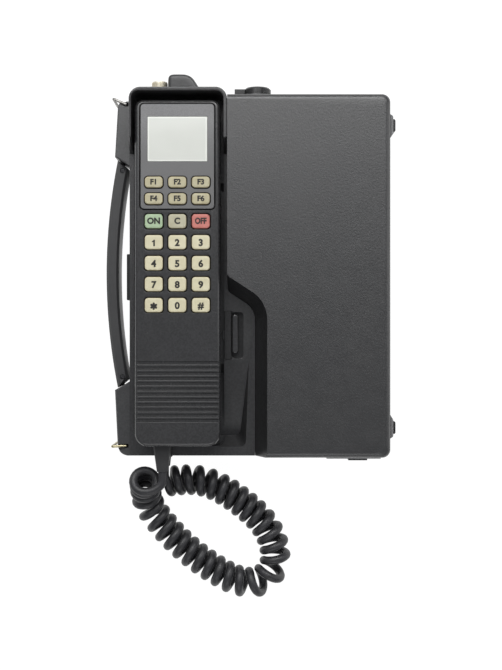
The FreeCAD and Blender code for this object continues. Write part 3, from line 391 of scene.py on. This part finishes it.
def key_plastic(name, colour, edge_colour):
    """Key moulding, a little darker and warmer where fingers have rubbed it, with painted shade darkening its
    bevelled sides.
    """
    finish = Finish(name, Specular_IOR_Level=0.45)
    handled = finish.noise(5.0, detail=3.0)
    face = finish.mix(finish.ramp(handled, [(0.35, 0.0), (0.8, 0.75)]), colour, edge_colour)
    # Painted shade: the key's bevelled sides are darkened to a deeper ochre, as under light from above
    edge = finish.own(KEY_EDGE_NAME)
    painted_edge_shade = tuple(part * shift for part, shift in zip(edge_colour, (0.66, 0.55, 0.4, 1.0)))
    finish.feed("Base Color", finish.mix(edge * 0.85, face, painted_edge_shade))
    finish.feed("Roughness", handled * 0.14 + 0.36)
    finish.bump(finish.noise(0.35, detail=2.0), 0.012)
    return finish.material


def printed_ink():
    """Near-black print, a little uneven."""
    finish = Finish("printed_ink")
    patchy = finish.noise(0.8, detail=3.0)
    finish.feed("Base Color", finish.mix(patchy, shade(18, 16, 13), shade(30, 27, 22)))
    finish.feed("Roughness", patchy * 0.1 + 0.5)
    return finish.material


def display_glass(name, level, roughness=0.3):
    """Pale liquid-crystal pane under a clear cover."""
    finish = Finish(name, Coat_Roughness=0.06)
    haze = finish.noise(12.0, detail=2.0)
    finish.feed("Base Color", finish.mix(haze, grey(level - 3, (0, 2, -5)), grey(level + 3, (0, 2, -5))))
    finish.feed("Roughness", haze * 0.08 + roughness)
    finish.feed("Coat Weight", 0.6)
    return finish.material


def brushed_metal(name, colour, dull_colour, roughness, metallic=1.0):
    """Metal with a fine grain and duller, tarnished patches."""
    finish = Finish(name)
    tarnish = finish.noise(2.2, detail=4.0, roughness=0.65)
    dulled = finish.ramp(tarnish, [(0.4, 0.0), (0.7, 1.0)])
    finish.feed("Base Color", finish.mix(dulled, colour, dull_colour))
    finish.feed("Metallic", metallic)
    finish.feed("Roughness", tarnish * 0.25 + (roughness - 0.1))
    finish.bump(finish.noise(0.25, detail=2.0), 0.01)
    return finish.material


def circuit_board():
    """Green laminate with lighter islands."""
    finish = Finish("circuit_board")
    tracks = finish.cells(2.4)
    islands = finish.ramp(tracks, [(0.3, 0.0), (0.34, 1.0)])
    finish.feed("Base Color", finish.mix(islands, shade(28, 74, 44), shade(44, 104, 62)))
    finish.feed("Roughness", tracks * 0.2 + 0.35)
    finish.bump(tracks, 0.03)
    return finish.material


FINISH = {
    "case": moulded_plastic("case_moulding", 33, 0.6, 0.12, roughness=0.38, sheen=1.0),
    "cradle": moulded_plastic("cradle_moulding", 50, 0.7, 0.07, roughness=0.36, sheen=0.6),
    "bracket": moulded_plastic("bracket_moulding", 46, 0.6, 0.08, roughness=0.38, dust=0.3, sheen=0.9),
    "handset": moulded_plastic("handset_moulding", 49, 0.5, 0.012, roughness=0.26, dust=0.25, mottle_depth=2,
                               sheen=0.7),
    # The display plate's finish carries painted shade towards its bottom
    "bezel": moulded_plastic("display_surround", 121, 0.35, 0.01, roughness=0.5, dust=0.2, mottle_depth=2,
                             painted_shade_down=[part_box("display_bezel")[1].y - drop * MM for drop in BEZEL_PAINTED_SHADE]),
    "latch": moulded_plastic("latch_moulding", 54, 0.45, 0.005, roughness=0.2, dust=0.3, sheen=0.8),
    "latch_plate": moulded_plastic("latch_plate_moulding", 36, 0.7, 0.08, roughness=0.45, dust=0.3),
    "socket": moulded_plastic("socket_moulding", 30, 0.4, 0.02, roughness=0.45, dust=0.1),
    "accessory": moulded_plastic("accessory_moulding", 150, 0.4, 0.02, roughness=0.45, dust=0.1),
    "insulator": moulded_plastic("insulator_moulding", 214, 0.4, 0.01, roughness=0.4, dust=0.1),
    "foot": moulded_plastic("foot_moulding", 120, 0.5, 0.03, roughness=0.5, dust=0.2),
    "handle": soft_rubber("handle_rubber", 54, roughness=0.42),
    "pad": soft_rubber("pad_rubber", 25, roughness=0.3),
    "boot": soft_rubber("boot_rubber", 44, roughness=0.45),
    "mat": soft_rubber("key_mat_rubber", 60),
    "gap": shadow_gap(),
    "cord": cord_vinyl(),
    "ink": printed_ink(),
    "glass": display_glass("display_glass", 203),
    # The glass edge's lighter colour is a painted highlight
    "glass_edge_highlight": display_glass("display_glass_edge", 220),
    "board": circuit_board(),
    "brass": brushed_metal("ring_brass", shade(196, 188, 156), shade(120, 112, 84), 0.3),
    "nickel": brushed_metal("connector_nickel", shade(240, 236, 222), shade(214, 204, 180), 0.42,
                            metallic=0.75),
    "dulled": brushed_metal("ring_nickel", shade(168, 166, 162), shade(88, 86, 82), 0.34),
    "steel": brushed_metal("spring_steel", shade(150, 150, 148), shade(104, 103, 100), 0.4),
    "blacked": brushed_metal("blacked_pin", shade(58, 58, 60), shade(40, 40, 42), 0.45, metallic=0.6),
    "chassis": brushed_metal("cast_chassis", shade(170, 172, 174), shade(132, 134, 136), 0.5),
    "cells": brushed_metal("cell_sleeve", shade(70, 84, 128), shade(48, 58, 92), 0.45, metallic=0.2),
    "cream": key_plastic("key_cream", shade(208, 202, 173), shade(196, 188, 154)),
    "khaki": key_plastic("key_khaki", shade(180, 174, 146), shade(164, 154, 118)),
    "green": key_plastic("key_green", shade(164, 184, 152), shade(146, 168, 134)),
    "stone": key_plastic("key_stone", shade(180, 176, 152), shade(164, 157, 130)),
    "red": key_plastic("key_red", shade(192, 120, 111), shade(176, 100, 92)),
}


# Mesh helpers
def piece(name, bm_or_mesh, finish, body, smooth_angle=35.0):
    """An object at the origin from a finished bmesh or mesh, riding on a body."""
    mesh = bm_or_mesh
    if isinstance(bm_or_mesh, bmesh.types.BMesh):
        mesh = bpy.data.meshes.new(name)
        bm_or_mesh.to_mesh(mesh)
        bm_or_mesh.free()
    mesh.shade_smooth()
    mesh.set_sharp_from_angle(angle=math.radians(smooth_angle))
    mesh.materials.clear()
    mesh.materials.append(FINISH[finish])
    obj = bpy.data.objects.new(name, mesh)
    bpy.context.scene.collection.objects.link(obj)
    if body:
        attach(obj, body)
    return obj


def body_of(node):
    return frame["nodes"][node]["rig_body"]


def middle_and_size(node):
    """Middle, width and height of a node in plan, in millimetres."""
    low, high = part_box(node)
    middle = ((low.x + high.x) / 2 / MM, (low.y + high.y) / 2 / MM)
    return middle, (high.x - low.x) / MM, (high.y - low.y) / MM


def stand_in(node, bm, finish, smooth_angle=35.0):
    """A finished mesh that shows in place of a node, with its body."""
    obj = piece(node + "_soft", bm, finish, body_of(node), smooth_angle)
    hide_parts(node)
    return obj


def merged(node):
    """A copy of a node's mesh with its doubles merged and its flat faces whole."""
    bm = bmesh.new()
    bm.from_mesh(frame["nodes"][node].data)
    bmesh.ops.remove_doubles(bm, verts=bm.verts, dist=NODE_WELD * MM)
    bmesh.ops.dissolve_limit(bm, angle_limit=math.radians(FLAT_DEGREES), verts=bm.verts, edges=bm.edges,
                             delimit={"NORMAL"})
    return bm


def softened(node, width_mm, finish, segments=2, crease=28.0, clamp=True, shape=None):
    """A copy of a moulding with its sharp edges rounded, in place of the plain node.
    Without clamp the rounding keeps its full width where other edges lie closer than that."""
    bm = merged(node)
    worn_highlit = bm.faces.layers.float.new(WORN_HIGHLIT_EDGE_NAME)
    sharp = [e for e in bm.edges if e.is_manifold and e.calc_face_angle(0.0) > math.radians(crease)]
    made = bmesh.ops.bevel(bm, geom=sharp, offset=width_mm * MM, offset_type="OFFSET", segments=segments,
                           profile=0.5, affect="EDGES", clamp_overlap=clamp, material=-1)
    # Marks the rounded edges, which the finish polishes and paints lighter as a highlight
    for face in made["faces"]:
        face[worn_highlit] = 1.0
    if shape:
        shape(bm)
    bmesh.ops.triangulate(bm, faces=[f for f in bm.faces if len(f.verts) > 4])
    weigh = stand_in(node, bm, finish).modifiers.new("face_weights", "WEIGHTED_NORMAL")
    weigh.keep_sharp = True


def pillow(node, finish):
    """A copy of a moulding with all its edges rounded far over, in place of the plain node."""
    bm = merged(node)
    mesh = bpy.data.meshes.new(node)
    bm.to_mesh(mesh)
    bm.free()
    draft = bpy.data.objects.new(node + "_draft", mesh)
    bpy.context.scene.collection.objects.link(draft)
    remesh = draft.modifiers.new("even", "REMESH")
    remesh.mode = "VOXEL"
    remesh.voxel_size = PILLOW_VOXEL * MM
    even = bpy.data.meshes.new_from_object(draft.evaluated_get(bpy.context.evaluated_depsgraph_get()))
    bpy.data.objects.remove(draft)
    bm = bmesh.new()
    bm.from_mesh(even)
    for _ in range(PILLOW_ROUNDS):
        bmesh.ops.smooth_vert(bm, verts=bm.verts, factor=0.5, use_axis_x=True, use_axis_y=True,
                              use_axis_z=True)
    stand_in(node, bm, finish, smooth_angle=80.0)


def round_rim(bm):
    """Turns the straight chamfer round the handset's face into an even curve."""
    low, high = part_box("handset_front_shell")
    run, drop = RIM_RUN * MM, RIM_DROP * MM
    for n in range(1, RIM_STEPS):
        height = high.z - drop + drop * math.sin(math.pi / 2 * n / RIM_STEPS)
        bmesh.ops.bisect_plane(bm, geom=bm.verts[:] + bm.edges[:] + bm.faces[:], plane_co=(0, 0, height),
                               plane_no=(0, 0, 1), dist=WELD * MM)
    for vert in bm.verts:
        rise = (vert.co.z - (high.z - drop)) / drop
        corner = (RIM_TOP_CORNER if vert.co.y > 0 else RIM_FOOT_CORNER) * MM
        nearest = Vector((min(max(vert.co.x, low.x + corner), high.x - corner),
                          min(max(vert.co.y, low.y + corner), high.y - corner), vert.co.z))
        outward = vert.co - nearest
        if rise <= 0 or abs(outward.length - (corner - run * rise)) > RIM_SLACK * MM:
            continue
        swell = run * (rise - 1 + math.sqrt(max(1 - rise * rise, 0)))
        vert.co += outward.normalized() * swell


def dress(node, finish):
    """A node whose own shape shows: only its material changes."""
    mesh = frame["nodes"][node].data
    mesh.materials.clear()
    mesh.materials.append(FINISH[finish])


def mesh_of(name, curve):
    """The mesh that a curve or a text makes."""
    carrier = bpy.data.objects.new(name, curve)
    mesh = bpy.data.meshes.new_from_object(carrier)
    bpy.data.objects.remove(carrier)
    return mesh


def tube_mesh(name, points, radius, resolution):
    """A round tube of a radius in metres along points, with closed ends."""
    curve = bpy.data.curves.new(name, "CURVE")
    curve.dimensions = "3D"
    curve.bevel_depth = radius
    curve.bevel_resolution = resolution
    curve.use_fill_caps = True
    spline = curve.splines.new("POLY")
    spline.points.add(len(points) - 1)
    for target, point in zip(spline.points, points):
        target.co = (*point, 1.0)
    mesh = mesh_of(name, curve)
    bm = bmesh.new()
    bm.from_mesh(mesh)
    bmesh.ops.remove_doubles(bm, verts=bm.verts, dist=WELD * MM)
    bmesh.ops.recalc_face_normals(bm, faces=bm.faces)
    bm.to_mesh(mesh)
    bm.free()
    return mesh


def lathe(name, centre, profile, finish, body, steps=40):
    """A solid of revolution about an axis along Y, from a closed profile of (radius, y) in millimetres."""
    bm = bmesh.new()
    verts = [bm.verts.new(centre + mm(radius, y, 0)) for radius, y in profile]
    edges = [bm.edges.new((a, b)) for a, b in zip(verts, verts[1:] + verts[:1])]
    bmesh.ops.spin(bm, geom=verts + edges, cent=centre, axis=(0, 1, 0), dvec=(0, 0, 0), angle=2 * math.pi,
                   steps=steps, use_merge=True)
    bmesh.ops.remove_doubles(bm, verts=bm.verts, dist=WELD * MM)
    bmesh.ops.recalc_face_normals(bm, faces=bm.faces)
    return piece(name, bm, finish, body)


def rounded_rectangle(centre, width, height, radius, steps=8):
    """Points round a rectangle with rounded corners, in millimetres."""
    points = []
    for corner in range(4):
        x = centre[0] + (width / 2 - radius) * (1 if corner in (0, 3) else -1)
        y = centre[1] + (height / 2 - radius) * (1 if corner < 2 else -1)
        for n in range(steps + 1):
            turn = math.pi / 2 * (corner + n / steps)
            points.append((x + radius * math.cos(turn), y + radius * math.sin(turn)))
    return points


def flat_shape(name, loops, low, high, finish, body):
    """A flat plate between two heights, filled between closed loops of (x, y) in millimetres."""
    curve = bpy.data.curves.new(name, "CURVE")
    curve.dimensions = "2D"
    curve.fill_mode = "BOTH"
    curve.extrude = (high - low) / 2 * MM
    for loop in loops:
        spline = curve.splines.new("POLY")
        spline.points.add(len(loop) - 1)
        for target, (x, y) in zip(spline.points, loop):
            target.co = (x * MM, y * MM, 0.0, 1.0)
        spline.use_cyclic_u = True
    mesh = mesh_of(name, curve)
    mesh.transform(Matrix.Translation((0, 0, (low + high) / 2 * MM)))
    piece(name, mesh, finish, body)


def outlines(node, *rings):
    """Rounded rectangles round a node, each from how far outside its box it lies and its corner radius."""
    centre, width, height = middle_and_size(node)
    return [rounded_rectangle(centre, width + 2 * reach, height + 2 * reach, corner)
            for reach, corner in rings]


def bent_path(corners, radius_mm, steps=6):
    """Points through corners, each inner corner rounded off."""
    points = [corners[0]]
    for before, corner, after in zip(corners, corners[1:], corners[2:]):
        first = corner + (before - corner).normalized() * radius_mm * MM
        last = corner + (after - corner).normalized() * radius_mm * MM
        for n in range(steps + 1):
            t = n / steps
            points.append(first * (1 - t) ** 2 + corner * (2 * t * (1 - t)) + last * t ** 2)
    points.append(corners[-1])
    return points


def end_of(node):
    """The middle of a node's lower end, where the cord joins it."""
    low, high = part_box(node)
    return Vector(((low.x + high.x) / 2, low.y, (low.z + high.z) / 2))


# Curly cord
def cord_route():
    """Points of the coil's middle line, read from the route's smooth spline."""
    curve = bpy.data.curves.new("cord_route", "CURVE")
    curve.dimensions = "3D"
    curve.resolution_u = STEPS_PER_SPAN
    spline = curve.splines.new("NURBS")
    spline.points.add(len(CORD_AXIS) - 1)
    tip = end_of("cord_boot")
    for target, (x, y, z) in zip(spline.points, CORD_AXIS):
        target.co = (tip.x + x * MM, tip.y + y * MM, z * MM, 1.0)
    spline.order_u = 3
    spline.use_endpoint_u = True
    points = [v.co.copy() for v in mesh_of("cord_route", curve).vertices]
    return [p for i, p in enumerate(points) if i == 0 or (p - points[i - 1]).length > SAME_PLACE]


def walk(points):
    """Steps along the middle line: place, heading, sideways vector and turns so far."""
    headings = [(b - a).normalized() for a, b in zip(points, points[1:])]
    headings.append(headings[-1])
    total = len(points) - 1
    side = Vector((1, 0, 0))
    turns = 0.0
    steps = []
    for i, (place, heading) in enumerate(zip(points, headings)):
        side = (side - heading * side.dot(heading)).normalized()
        span = (points[min(i + 1, total)] - place).length or (place - points[i - 1]).length
        bend = headings[min(i + 1, total)].angle(heading, 0.0) / span
        pitch = (FIRST_PITCH + (LAST_PITCH - FIRST_PITCH) * i / total) * MM
        pitch = max(pitch, INNER_SPACING * MM / (1 - COIL_RADIUS * MM * bend))
        steps.append((place, heading, side.copy(), turns))
        turns += span / pitch if i < total else 0
    return steps


def helix_points(steps):
    """The wire's middle line through the coil, from a quarter turn on to the top of the last turn."""
    heading, side, turns = steps[-1][1:]
    across = heading.cross(side)
    leave_on_top = math.atan2(across.z, side.z) / (2 * math.pi) % 1
    whole = round(turns - leave_on_top) + leave_on_top
    count = round((whole - LEAD_TURN) * POINTS_PER_TURN)
    points = []
    at = 0
    for n in range(count + 1):
        mark = LEAD_TURN + (whole - LEAD_TURN) * n / count
        wanted = mark * turns / whole
        while at < len(steps) - 2 and steps[at + 1][3] < wanted:
            at += 1
        early, late = steps[at], steps[at + 1]
        share = (wanted - early[3]) / (late[3] - early[3])
        place = early[0].lerp(late[0], share)
        heading = early[1].lerp(late[1], share).normalized()
        side = (early[2] - heading * early[2].dot(heading)).normalized()
        across = heading.cross(side)
        turn = 2 * math.pi * mark
        points.append(place + (side * math.cos(turn) + across * math.sin(turn)) * COIL_RADIUS * MM)
    return points


def bridge(start, start_heading, end, end_heading, count=10):
    """Points strictly between two ends, on a smooth curve that leaves and meets them in line."""
    reach = (end - start).length
    points = []
    for n in range(1, count):
        t = n / count
        points.append(
            start * (2 * t ** 3 - 3 * t ** 2 + 1) + start_heading * reach * (t ** 3 - 2 * t ** 2 + t)
            + end * (3 * t ** 2 - 2 * t ** 3) + end_heading * reach * (t ** 3 - t ** 2))
    return points


def lift_along(cord, path):
    """Lays every point of the cord out straight along X by its place along the cord, bakes the object's
    transform, and then puts every point back to its place."""
    marks = KDTree(len(path))
    reach = [0.0]
    for a, b in zip(path, path[1:]):
        reach.append(reach[-1] + (b - a).length)
    for i, point in enumerate(path):
        marks.insert(point, i)
    marks.balance()
    vertices = cord.data.vertices
    places = [v.co.copy() for v in vertices]
    for vertex, place in zip(vertices, places):
        vertex.co = (reach[marks.find(place)[1]], 0, 0)
    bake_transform(cord)
    for vertex, place in zip(vertices, places):
        vertex.co = place


def curly_cord():
    """The wire from the handset's boot through all its curls into the gland of the case."""
    boot_tip = end_of("cord_boot")
    gland_face = end_of("cord_gland")
    lead = WIRE_DIAMETER * MM
    outward = Vector((0, -1, 0))
    coil = helix_points(walk(cord_route()))
    first_heading = (coil[1] - coil[0]).normalized()
    last_heading = (coil[-1] - coil[-2]).normalized()
    path = [boot_tip, boot_tip + outward * lead]
    path += bridge(path[-1], outward, coil[0], first_heading)
    path += coil
    path += bridge(coil[-1], last_heading, gland_face + outward * lead, -outward)
    path += [gland_face + outward * lead, gland_face]
    length = sum((b - a).length for a, b in zip(path, path[1:]))
    mesh = tube_mesh("curly_cord_vinyl", path, WIRE_DIAMETER * MM / 2, resolution=4)
    cord = piece("curly_cord_vinyl", mesh, "cord", None)
    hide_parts("curly_cord")
    lift_along(cord, path)


# Rings, strips, connector thread and display edges
def strap_ring(node, pivot, angle):
    """A wire loop whose two legs turn in the bracket, with a short pin at each end."""
    turn = math.radians(angle)
    foot = mm(*pivot, 0)
    tip = foot + mm(math.cos(turn), math.sin(turn), 0) * RING_LEG
    corners = [
        foot + mm(0, 0, RING_FRONT - RING_PIN), foot + mm(0, 0, RING_FRONT), tip + mm(0, 0, RING_FRONT),
        tip + mm(0, 0, RING_BACK), foot + mm(0, 0, RING_BACK), foot + mm(0, 0, RING_BACK + RING_PIN),
    ]
    mesh = tube_mesh(node + "_wire", bent_path(corners, RING_BEND), RING_WIRE_RADIUS * MM, resolution=5)
    ring = piece(node + "_wire", mesh, RING_FINISH[node], body_of(node), smooth_angle=60.0)
    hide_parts(node)


def handle_strip(name, side):
    """One spring strip, straight between the bracket and the grip."""
    low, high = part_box("handle_strips")
    start, end = (HANDLE_MID_Y + side * reach for reach in STRIP_SPAN)
    bm = bmesh.new()
    bmesh.ops.create_grid(bm, x_segments=STRIP_SEGMENTS, y_segments=2, size=0.5)
    for vert in bm.verts:
        along, across = vert.co.x + 0.5, vert.co.y + 0.5
        vert.co = (low.x, (start + (end - start) * along) * MM, low.z + (high.z - low.z) * across)
    bmesh.ops.solidify(bm, geom=bm.faces[:], thickness=high.x - low.x)
    shift = low.x - min(v.co.x for v in bm.verts)
    bmesh.ops.translate(bm, vec=(shift, 0, 0), verts=bm.verts)
    bmesh.ops.recalc_face_normals(bm, faces=bm.faces)
    strip = piece(name, bm, "steel", None)
    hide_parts("handle_strips")
    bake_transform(strip)


def connector_thread():
    """Turned thread round the barrel of the antenna connector."""
    low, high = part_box("antenna_jack")
    centre = Vector(((low.x + high.x) / 2, 0, (low.z + high.z) / 2))
    top = high.y / MM - THREAD_RECESS
    bottom = top - THREAD_LENGTH
    profile = [(END_RADIUS, top)]
    for n in range(THREAD_TURNS):
        y = top - THREAD_LEAD - n * THREAD_PITCH
        profile += [(CREST_RADIUS, y), (CREST_RADIUS, y - CREST_FLAT), (ROOT_RADIUS, y - THREAD_PITCH / 2)]
    profile += [(END_RADIUS, bottom), (BORE_RADIUS, bottom), (BORE_RADIUS, top)]
    lathe("antenna_thread", centre, profile, "nickel", "case")


def display_gap_shade():
    """Painted shade: a dark sheet in the gap round the display plate."""
    flat_shape("display_gap_shade", outlines("display_bezel", GAP_SHADE_OUTER, GAP_SHADE_INNER),
               HANDSET_FACE - GAP_DEPTH, HANDSET_FACE + GAP_SHADE_PROUD, "gap", "handset")


def window_border():
    """Polished edge of the display glass, painted lighter as a highlight."""
    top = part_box("lcd_window")[1].z / MM
    flat_shape("window_border", outlines("lcd_window", BORDER_OUTER, BORDER_INNER),
               top - BORDER_DEPTH, top + GAP_PROUD, "glass_edge_highlight", "handset")


# Keys and their legends
def keycap(name, node, height, finish):
    """A key with rounded corners, softened edges and a slightly dished top."""
    low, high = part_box(node)
    centre = (low + high) / 2
    bm = bmesh.new()
    bmesh.ops.create_cube(bm, size=1.0)
    deep = high.z - low.z
    bmesh.ops.scale(bm, vec=(KEY_WIDTH * MM, height * MM, deep), verts=bm.verts)
    bmesh.ops.translate(bm, vec=(centre.x, centre.y, centre.z), verts=bm.verts)
    upright = [e for e in bm.edges if abs(e.verts[0].co.z - e.verts[1].co.z) > deep / 2]
    bmesh.ops.bevel(bm, geom=upright, offset=KEY_CORNER * MM, offset_type="OFFSET", segments=6,
                    profile=0.5, affect="EDGES", clamp_overlap=True, material=-1)
    top = [e for e in bm.edges if min(v.co.z for v in e.verts) > high.z - WELD * MM]
    bmesh.ops.bevel(bm, geom=top, offset=KEY_EDGE * MM, offset_type="OFFSET", segments=4,
                    profile=0.5, affect="EDGES", clamp_overlap=True, material=-1)
    cap_face = max((f for f in bm.faces if f.normal.z > 0.9), key=lambda f: f.calc_area())
    bmesh.ops.inset_region(bm, faces=[cap_face], thickness=KEY_LAND * MM, depth=-KEY_DISH * MM)
    # Marks the key's bevelled sides for the painted shade in its finish
    edge = bm.verts.layers.float.new(KEY_EDGE_NAME)
    for vert in bm.verts:
        vert[edge] = 1.0 if vert.co.z < high.z - KEY_EDGE_TOP * MM else 0.0
    obj = piece(name, bm, finish, body_of(node), smooth_angle=50.0)
    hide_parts(node)


def key_gap(name, node, height, face):
    """Painted shade: a dark ring on the face where a key stands in its opening."""
    centre = middle_and_size(node)[0]
    loops = [rounded_rectangle(centre, KEY_WIDTH + 2 * KEY_GAP, height + 2 * KEY_GAP, KEY_CORNER + KEY_GAP),
             rounded_rectangle(centre, KEY_WIDTH + KEY_CLEARANCE, height + KEY_CLEARANCE, KEY_CORNER)]
    flat_shape(name, loops, face - GAP_DEPTH, face + GAP_PROUD, "gap", "handset")


def legend(name, text, size_mm, width, place, body):
    """Printed characters, as thin ink on the key."""
    curve = bpy.data.curves.new(name, "FONT")
    curve.body = text
    curve.size = size_mm * MM
    curve.align_x = "CENTER"
    curve.align_y = "CENTER"
    curve.extrude = LEGEND_THICKNESS * MM
    curve.bevel_depth = LEGEND_WEIGHT * size_mm * MM
    mesh = mesh_of(name, curve)
    flatten = LEGEND_THICKNESS * MM / max(v.co.z for v in mesh.vertices)
    mesh.transform(Matrix.Translation(place) @ Matrix.Diagonal((width, 1.0, flatten, 1.0)))
    piece(name, mesh, "ink", body)


def kind_of_key(label):
    if label == "star":
        return "star"
    if label.startswith("function"):
        return "function"
    return "word" if label in KEY_FINISH else "digit"


def keypad():
    """Every key of the handset, with its gap and its legend."""
    for node in [n for n in frame["nodes"] if n.startswith("key_")]:
        label = node.removeprefix("key_")
        kind = kind_of_key(label)
        on_plate = kind == "function"
        height = FUNCTION_KEY_HEIGHT if on_plate else KEY_HEIGHT
        keycap(node + "_cap", node, height, "khaki" if on_plate else KEY_FINISH.get(label, "cream"))
        key_gap(node + "_gap", node, height, PLATE_FACE if on_plate else HANDSET_FACE)
        size, drop = LEGEND_FIT[kind]
        low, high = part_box(node)
        place = (low + high) / 2
        place.y -= drop * MM
        place.z = high.z - (KEY_DISH - LEGEND_LIFT) * MM
        text = LEGEND_TEXT.get(label, label.replace("function_", "F"))
        if text == "1":
            digit = [(place.x / MM + x, place.y / MM + y) for x, y in DIGIT_ONE]
            top = place.z / MM
            flat_shape("legend_1", [digit], top - LEGEND_THICKNESS, top + LEGEND_THICKNESS, "ink",
                       body_of(node))
            continue
        width = LONG_WORD_WIDTH if len(text) > 2 else 1.0
        legend("legend_" + label, text, size, width, place, body_of(node))


# Floor, light and camera
def floor():
    """A pale floor that keeps the shadow and shows almost white to the camera."""
    finish = Finish("floor", Roughness=0.9, Specular_IOR_Level=0.1)
    finish.feed("Base Color", FLOOR_TONE)
    glow = finish.node("ShaderNodeEmission", {}, {"Color": (1, 1, 1, 1), "Strength": FLOOR_GLOW})
    path = finish.node("ShaderNodeLightPath", {}, {})
    seen = Wire(finish, path.outputs["Is Camera Ray"]) + Wire(finish, path.outputs["Is Glossy Ray"])
    mixed = finish.node("ShaderNodeMixShader", {}, {0: seen * FLOOR_GLOW_SHARE})
    finish.tree.links.new(finish.shader.outputs[0], mixed.inputs[1])
    finish.tree.links.new(glow.outputs[0], mixed.inputs[2])
    output = [n for n in finish.tree.nodes if n.type == "OUTPUT_MATERIAL"][0]
    finish.tree.links.new(mixed.outputs[0], output.inputs["Surface"])
    bm = bmesh.new()
    bmesh.ops.create_grid(bm, x_segments=1, y_segments=1, size=FLOOR_REACH)
    bmesh.ops.translate(bm, vec=(0, 0, -FLOOR_DROP * MM), verts=bm.verts)
    mesh = bpy.data.meshes.new("floor")
    bm.to_mesh(mesh)
    bm.free()
    mesh.materials.append(finish.material)
    obj = bpy.data.objects.new("floor", mesh)
    bpy.context.scene.collection.objects.link(obj)


def soft_light(name, place, aim, width, height, watts):
    """A rectangular lamp that faces a point."""
    data = bpy.data.lights.new(name, "AREA")
    data.shape = "RECTANGLE"
    data.size = width
    data.size_y = height
    data.energy = watts
    obj = bpy.data.objects.new(name, data)
    obj.location = place
    obj.rotation_euler = (Vector(aim) - Vector(place)).to_track_quat("-Z", "Y").to_euler()
    bpy.context.scene.collection.objects.link(obj)


def room():
    """Dim even light all round, a pale backdrop for the camera, and the lamps."""
    world = bpy.data.worlds.new("room")
    bpy.context.scene.world = world
    world.use_nodes = True
    tree = world.node_tree
    tree.nodes.clear()
    dim = tree.nodes.new("ShaderNodeBackground")
    dim.inputs["Color"].default_value = ROOM_TINT
    dim.inputs["Strength"].default_value = ROOM_LEVEL
    bright = tree.nodes.new("ShaderNodeBackground")
    bright.inputs["Strength"].default_value = 1.0
    path = tree.nodes.new("ShaderNodeLightPath")
    mixed = tree.nodes.new("ShaderNodeMixShader")
    output = tree.nodes.new("ShaderNodeOutputWorld")
    tree.links.new(path.outputs["Is Camera Ray"], mixed.inputs[0])
    tree.links.new(dim.outputs[0], mixed.inputs[1])
    tree.links.new(bright.outputs[0], mixed.inputs[2])
    tree.links.new(mixed.outputs[0], output.inputs["Surface"])
    for light in LIGHTS:
        soft_light(*light)


def camera():
    """Straight above the object, as in the photograph."""
    data = bpy.data.cameras.new("camera")
    data.sensor_fit = "VERTICAL"
    data.angle = 2 * math.atan(PHOTO_HEIGHT / 2 / FOCAL_PIXELS)
    obj = bpy.data.objects.new("camera", data)
    obj.location = CAMERA_PLACE
    bpy.context.scene.collection.objects.link(obj)
    bpy.context.scene.camera = obj
    bpy.context.scene.view_settings.view_transform = "Standard"


camera()
room()
floor()
curly_cord()
keypad()
for ring in RINGS:
    strap_ring(*ring)
handle_strip("handle_strip_upper", 1)
handle_strip("handle_strip_lower", -1)
connector_thread()
display_gap_shade()
window_border()

# Mouldings that show with rounded edges: node, width of the rounding in millimetres, and finish
for moulding in (
    ("front_housing", 1.1, "case"), ("rear_housing", 0.5, "case"),
    ("cradle_tray", 0.6, "cradle"), ("cradle_hood", 0.9, "cradle"),
    ("side_bracket_upper", 0.5, "bracket"), ("side_bracket_lower", 0.5, "bracket"),
    ("handle_grip", 0.6, "handle"), ("handle_rest_pad", 0.5, "pad"), ("power_cap", 0.4, "pad"),
    ("foot_mounts", 0.5, "foot"), ("rubber_feet", 0.5, "pad"),
    ("accessory_plate", 0.3, "accessory"), ("accessory_socket", 0.3, "socket"),
    ("latch_plate", 0.3, "latch_plate"), ("latch_slider", 0.8, "latch"),
    ("handset_rear_shell", 0.5, "handset"), ("display_bezel", 0.2, "bezel"), ("lcd_window", 0.2, "glass"),
    ("cord_boot", 0.3, "boot"), ("cord_gland", 0.3, "boot"), ("antenna_jack", 0.2, "nickel"),
    ("handle_pins", 0.3, "blacked"), ("power_socket", 0.2, "socket"),
):
    softened(*moulding)
softened("handset_front_shell", 0.42, "handset", segments=3, crease=55.0, clamp=False, shape=round_rim)
pillow("antenna_guard", "cradle")

# Nodes that show as they are, most of them inside, with a finish each
for inner in (
    ("antenna_insulator", "insulator"), ("antenna_contact", "brass"), ("transceiver_chassis", "chassis"),
    ("logic_board", "board"), ("battery_pack", "cells"), ("lcd_module", "accessory"), ("keypad_mat", "mat"),
    ("handset_board", "board"), ("earpiece", "socket"), ("microphone", "socket"),
):
    dress(*inner)
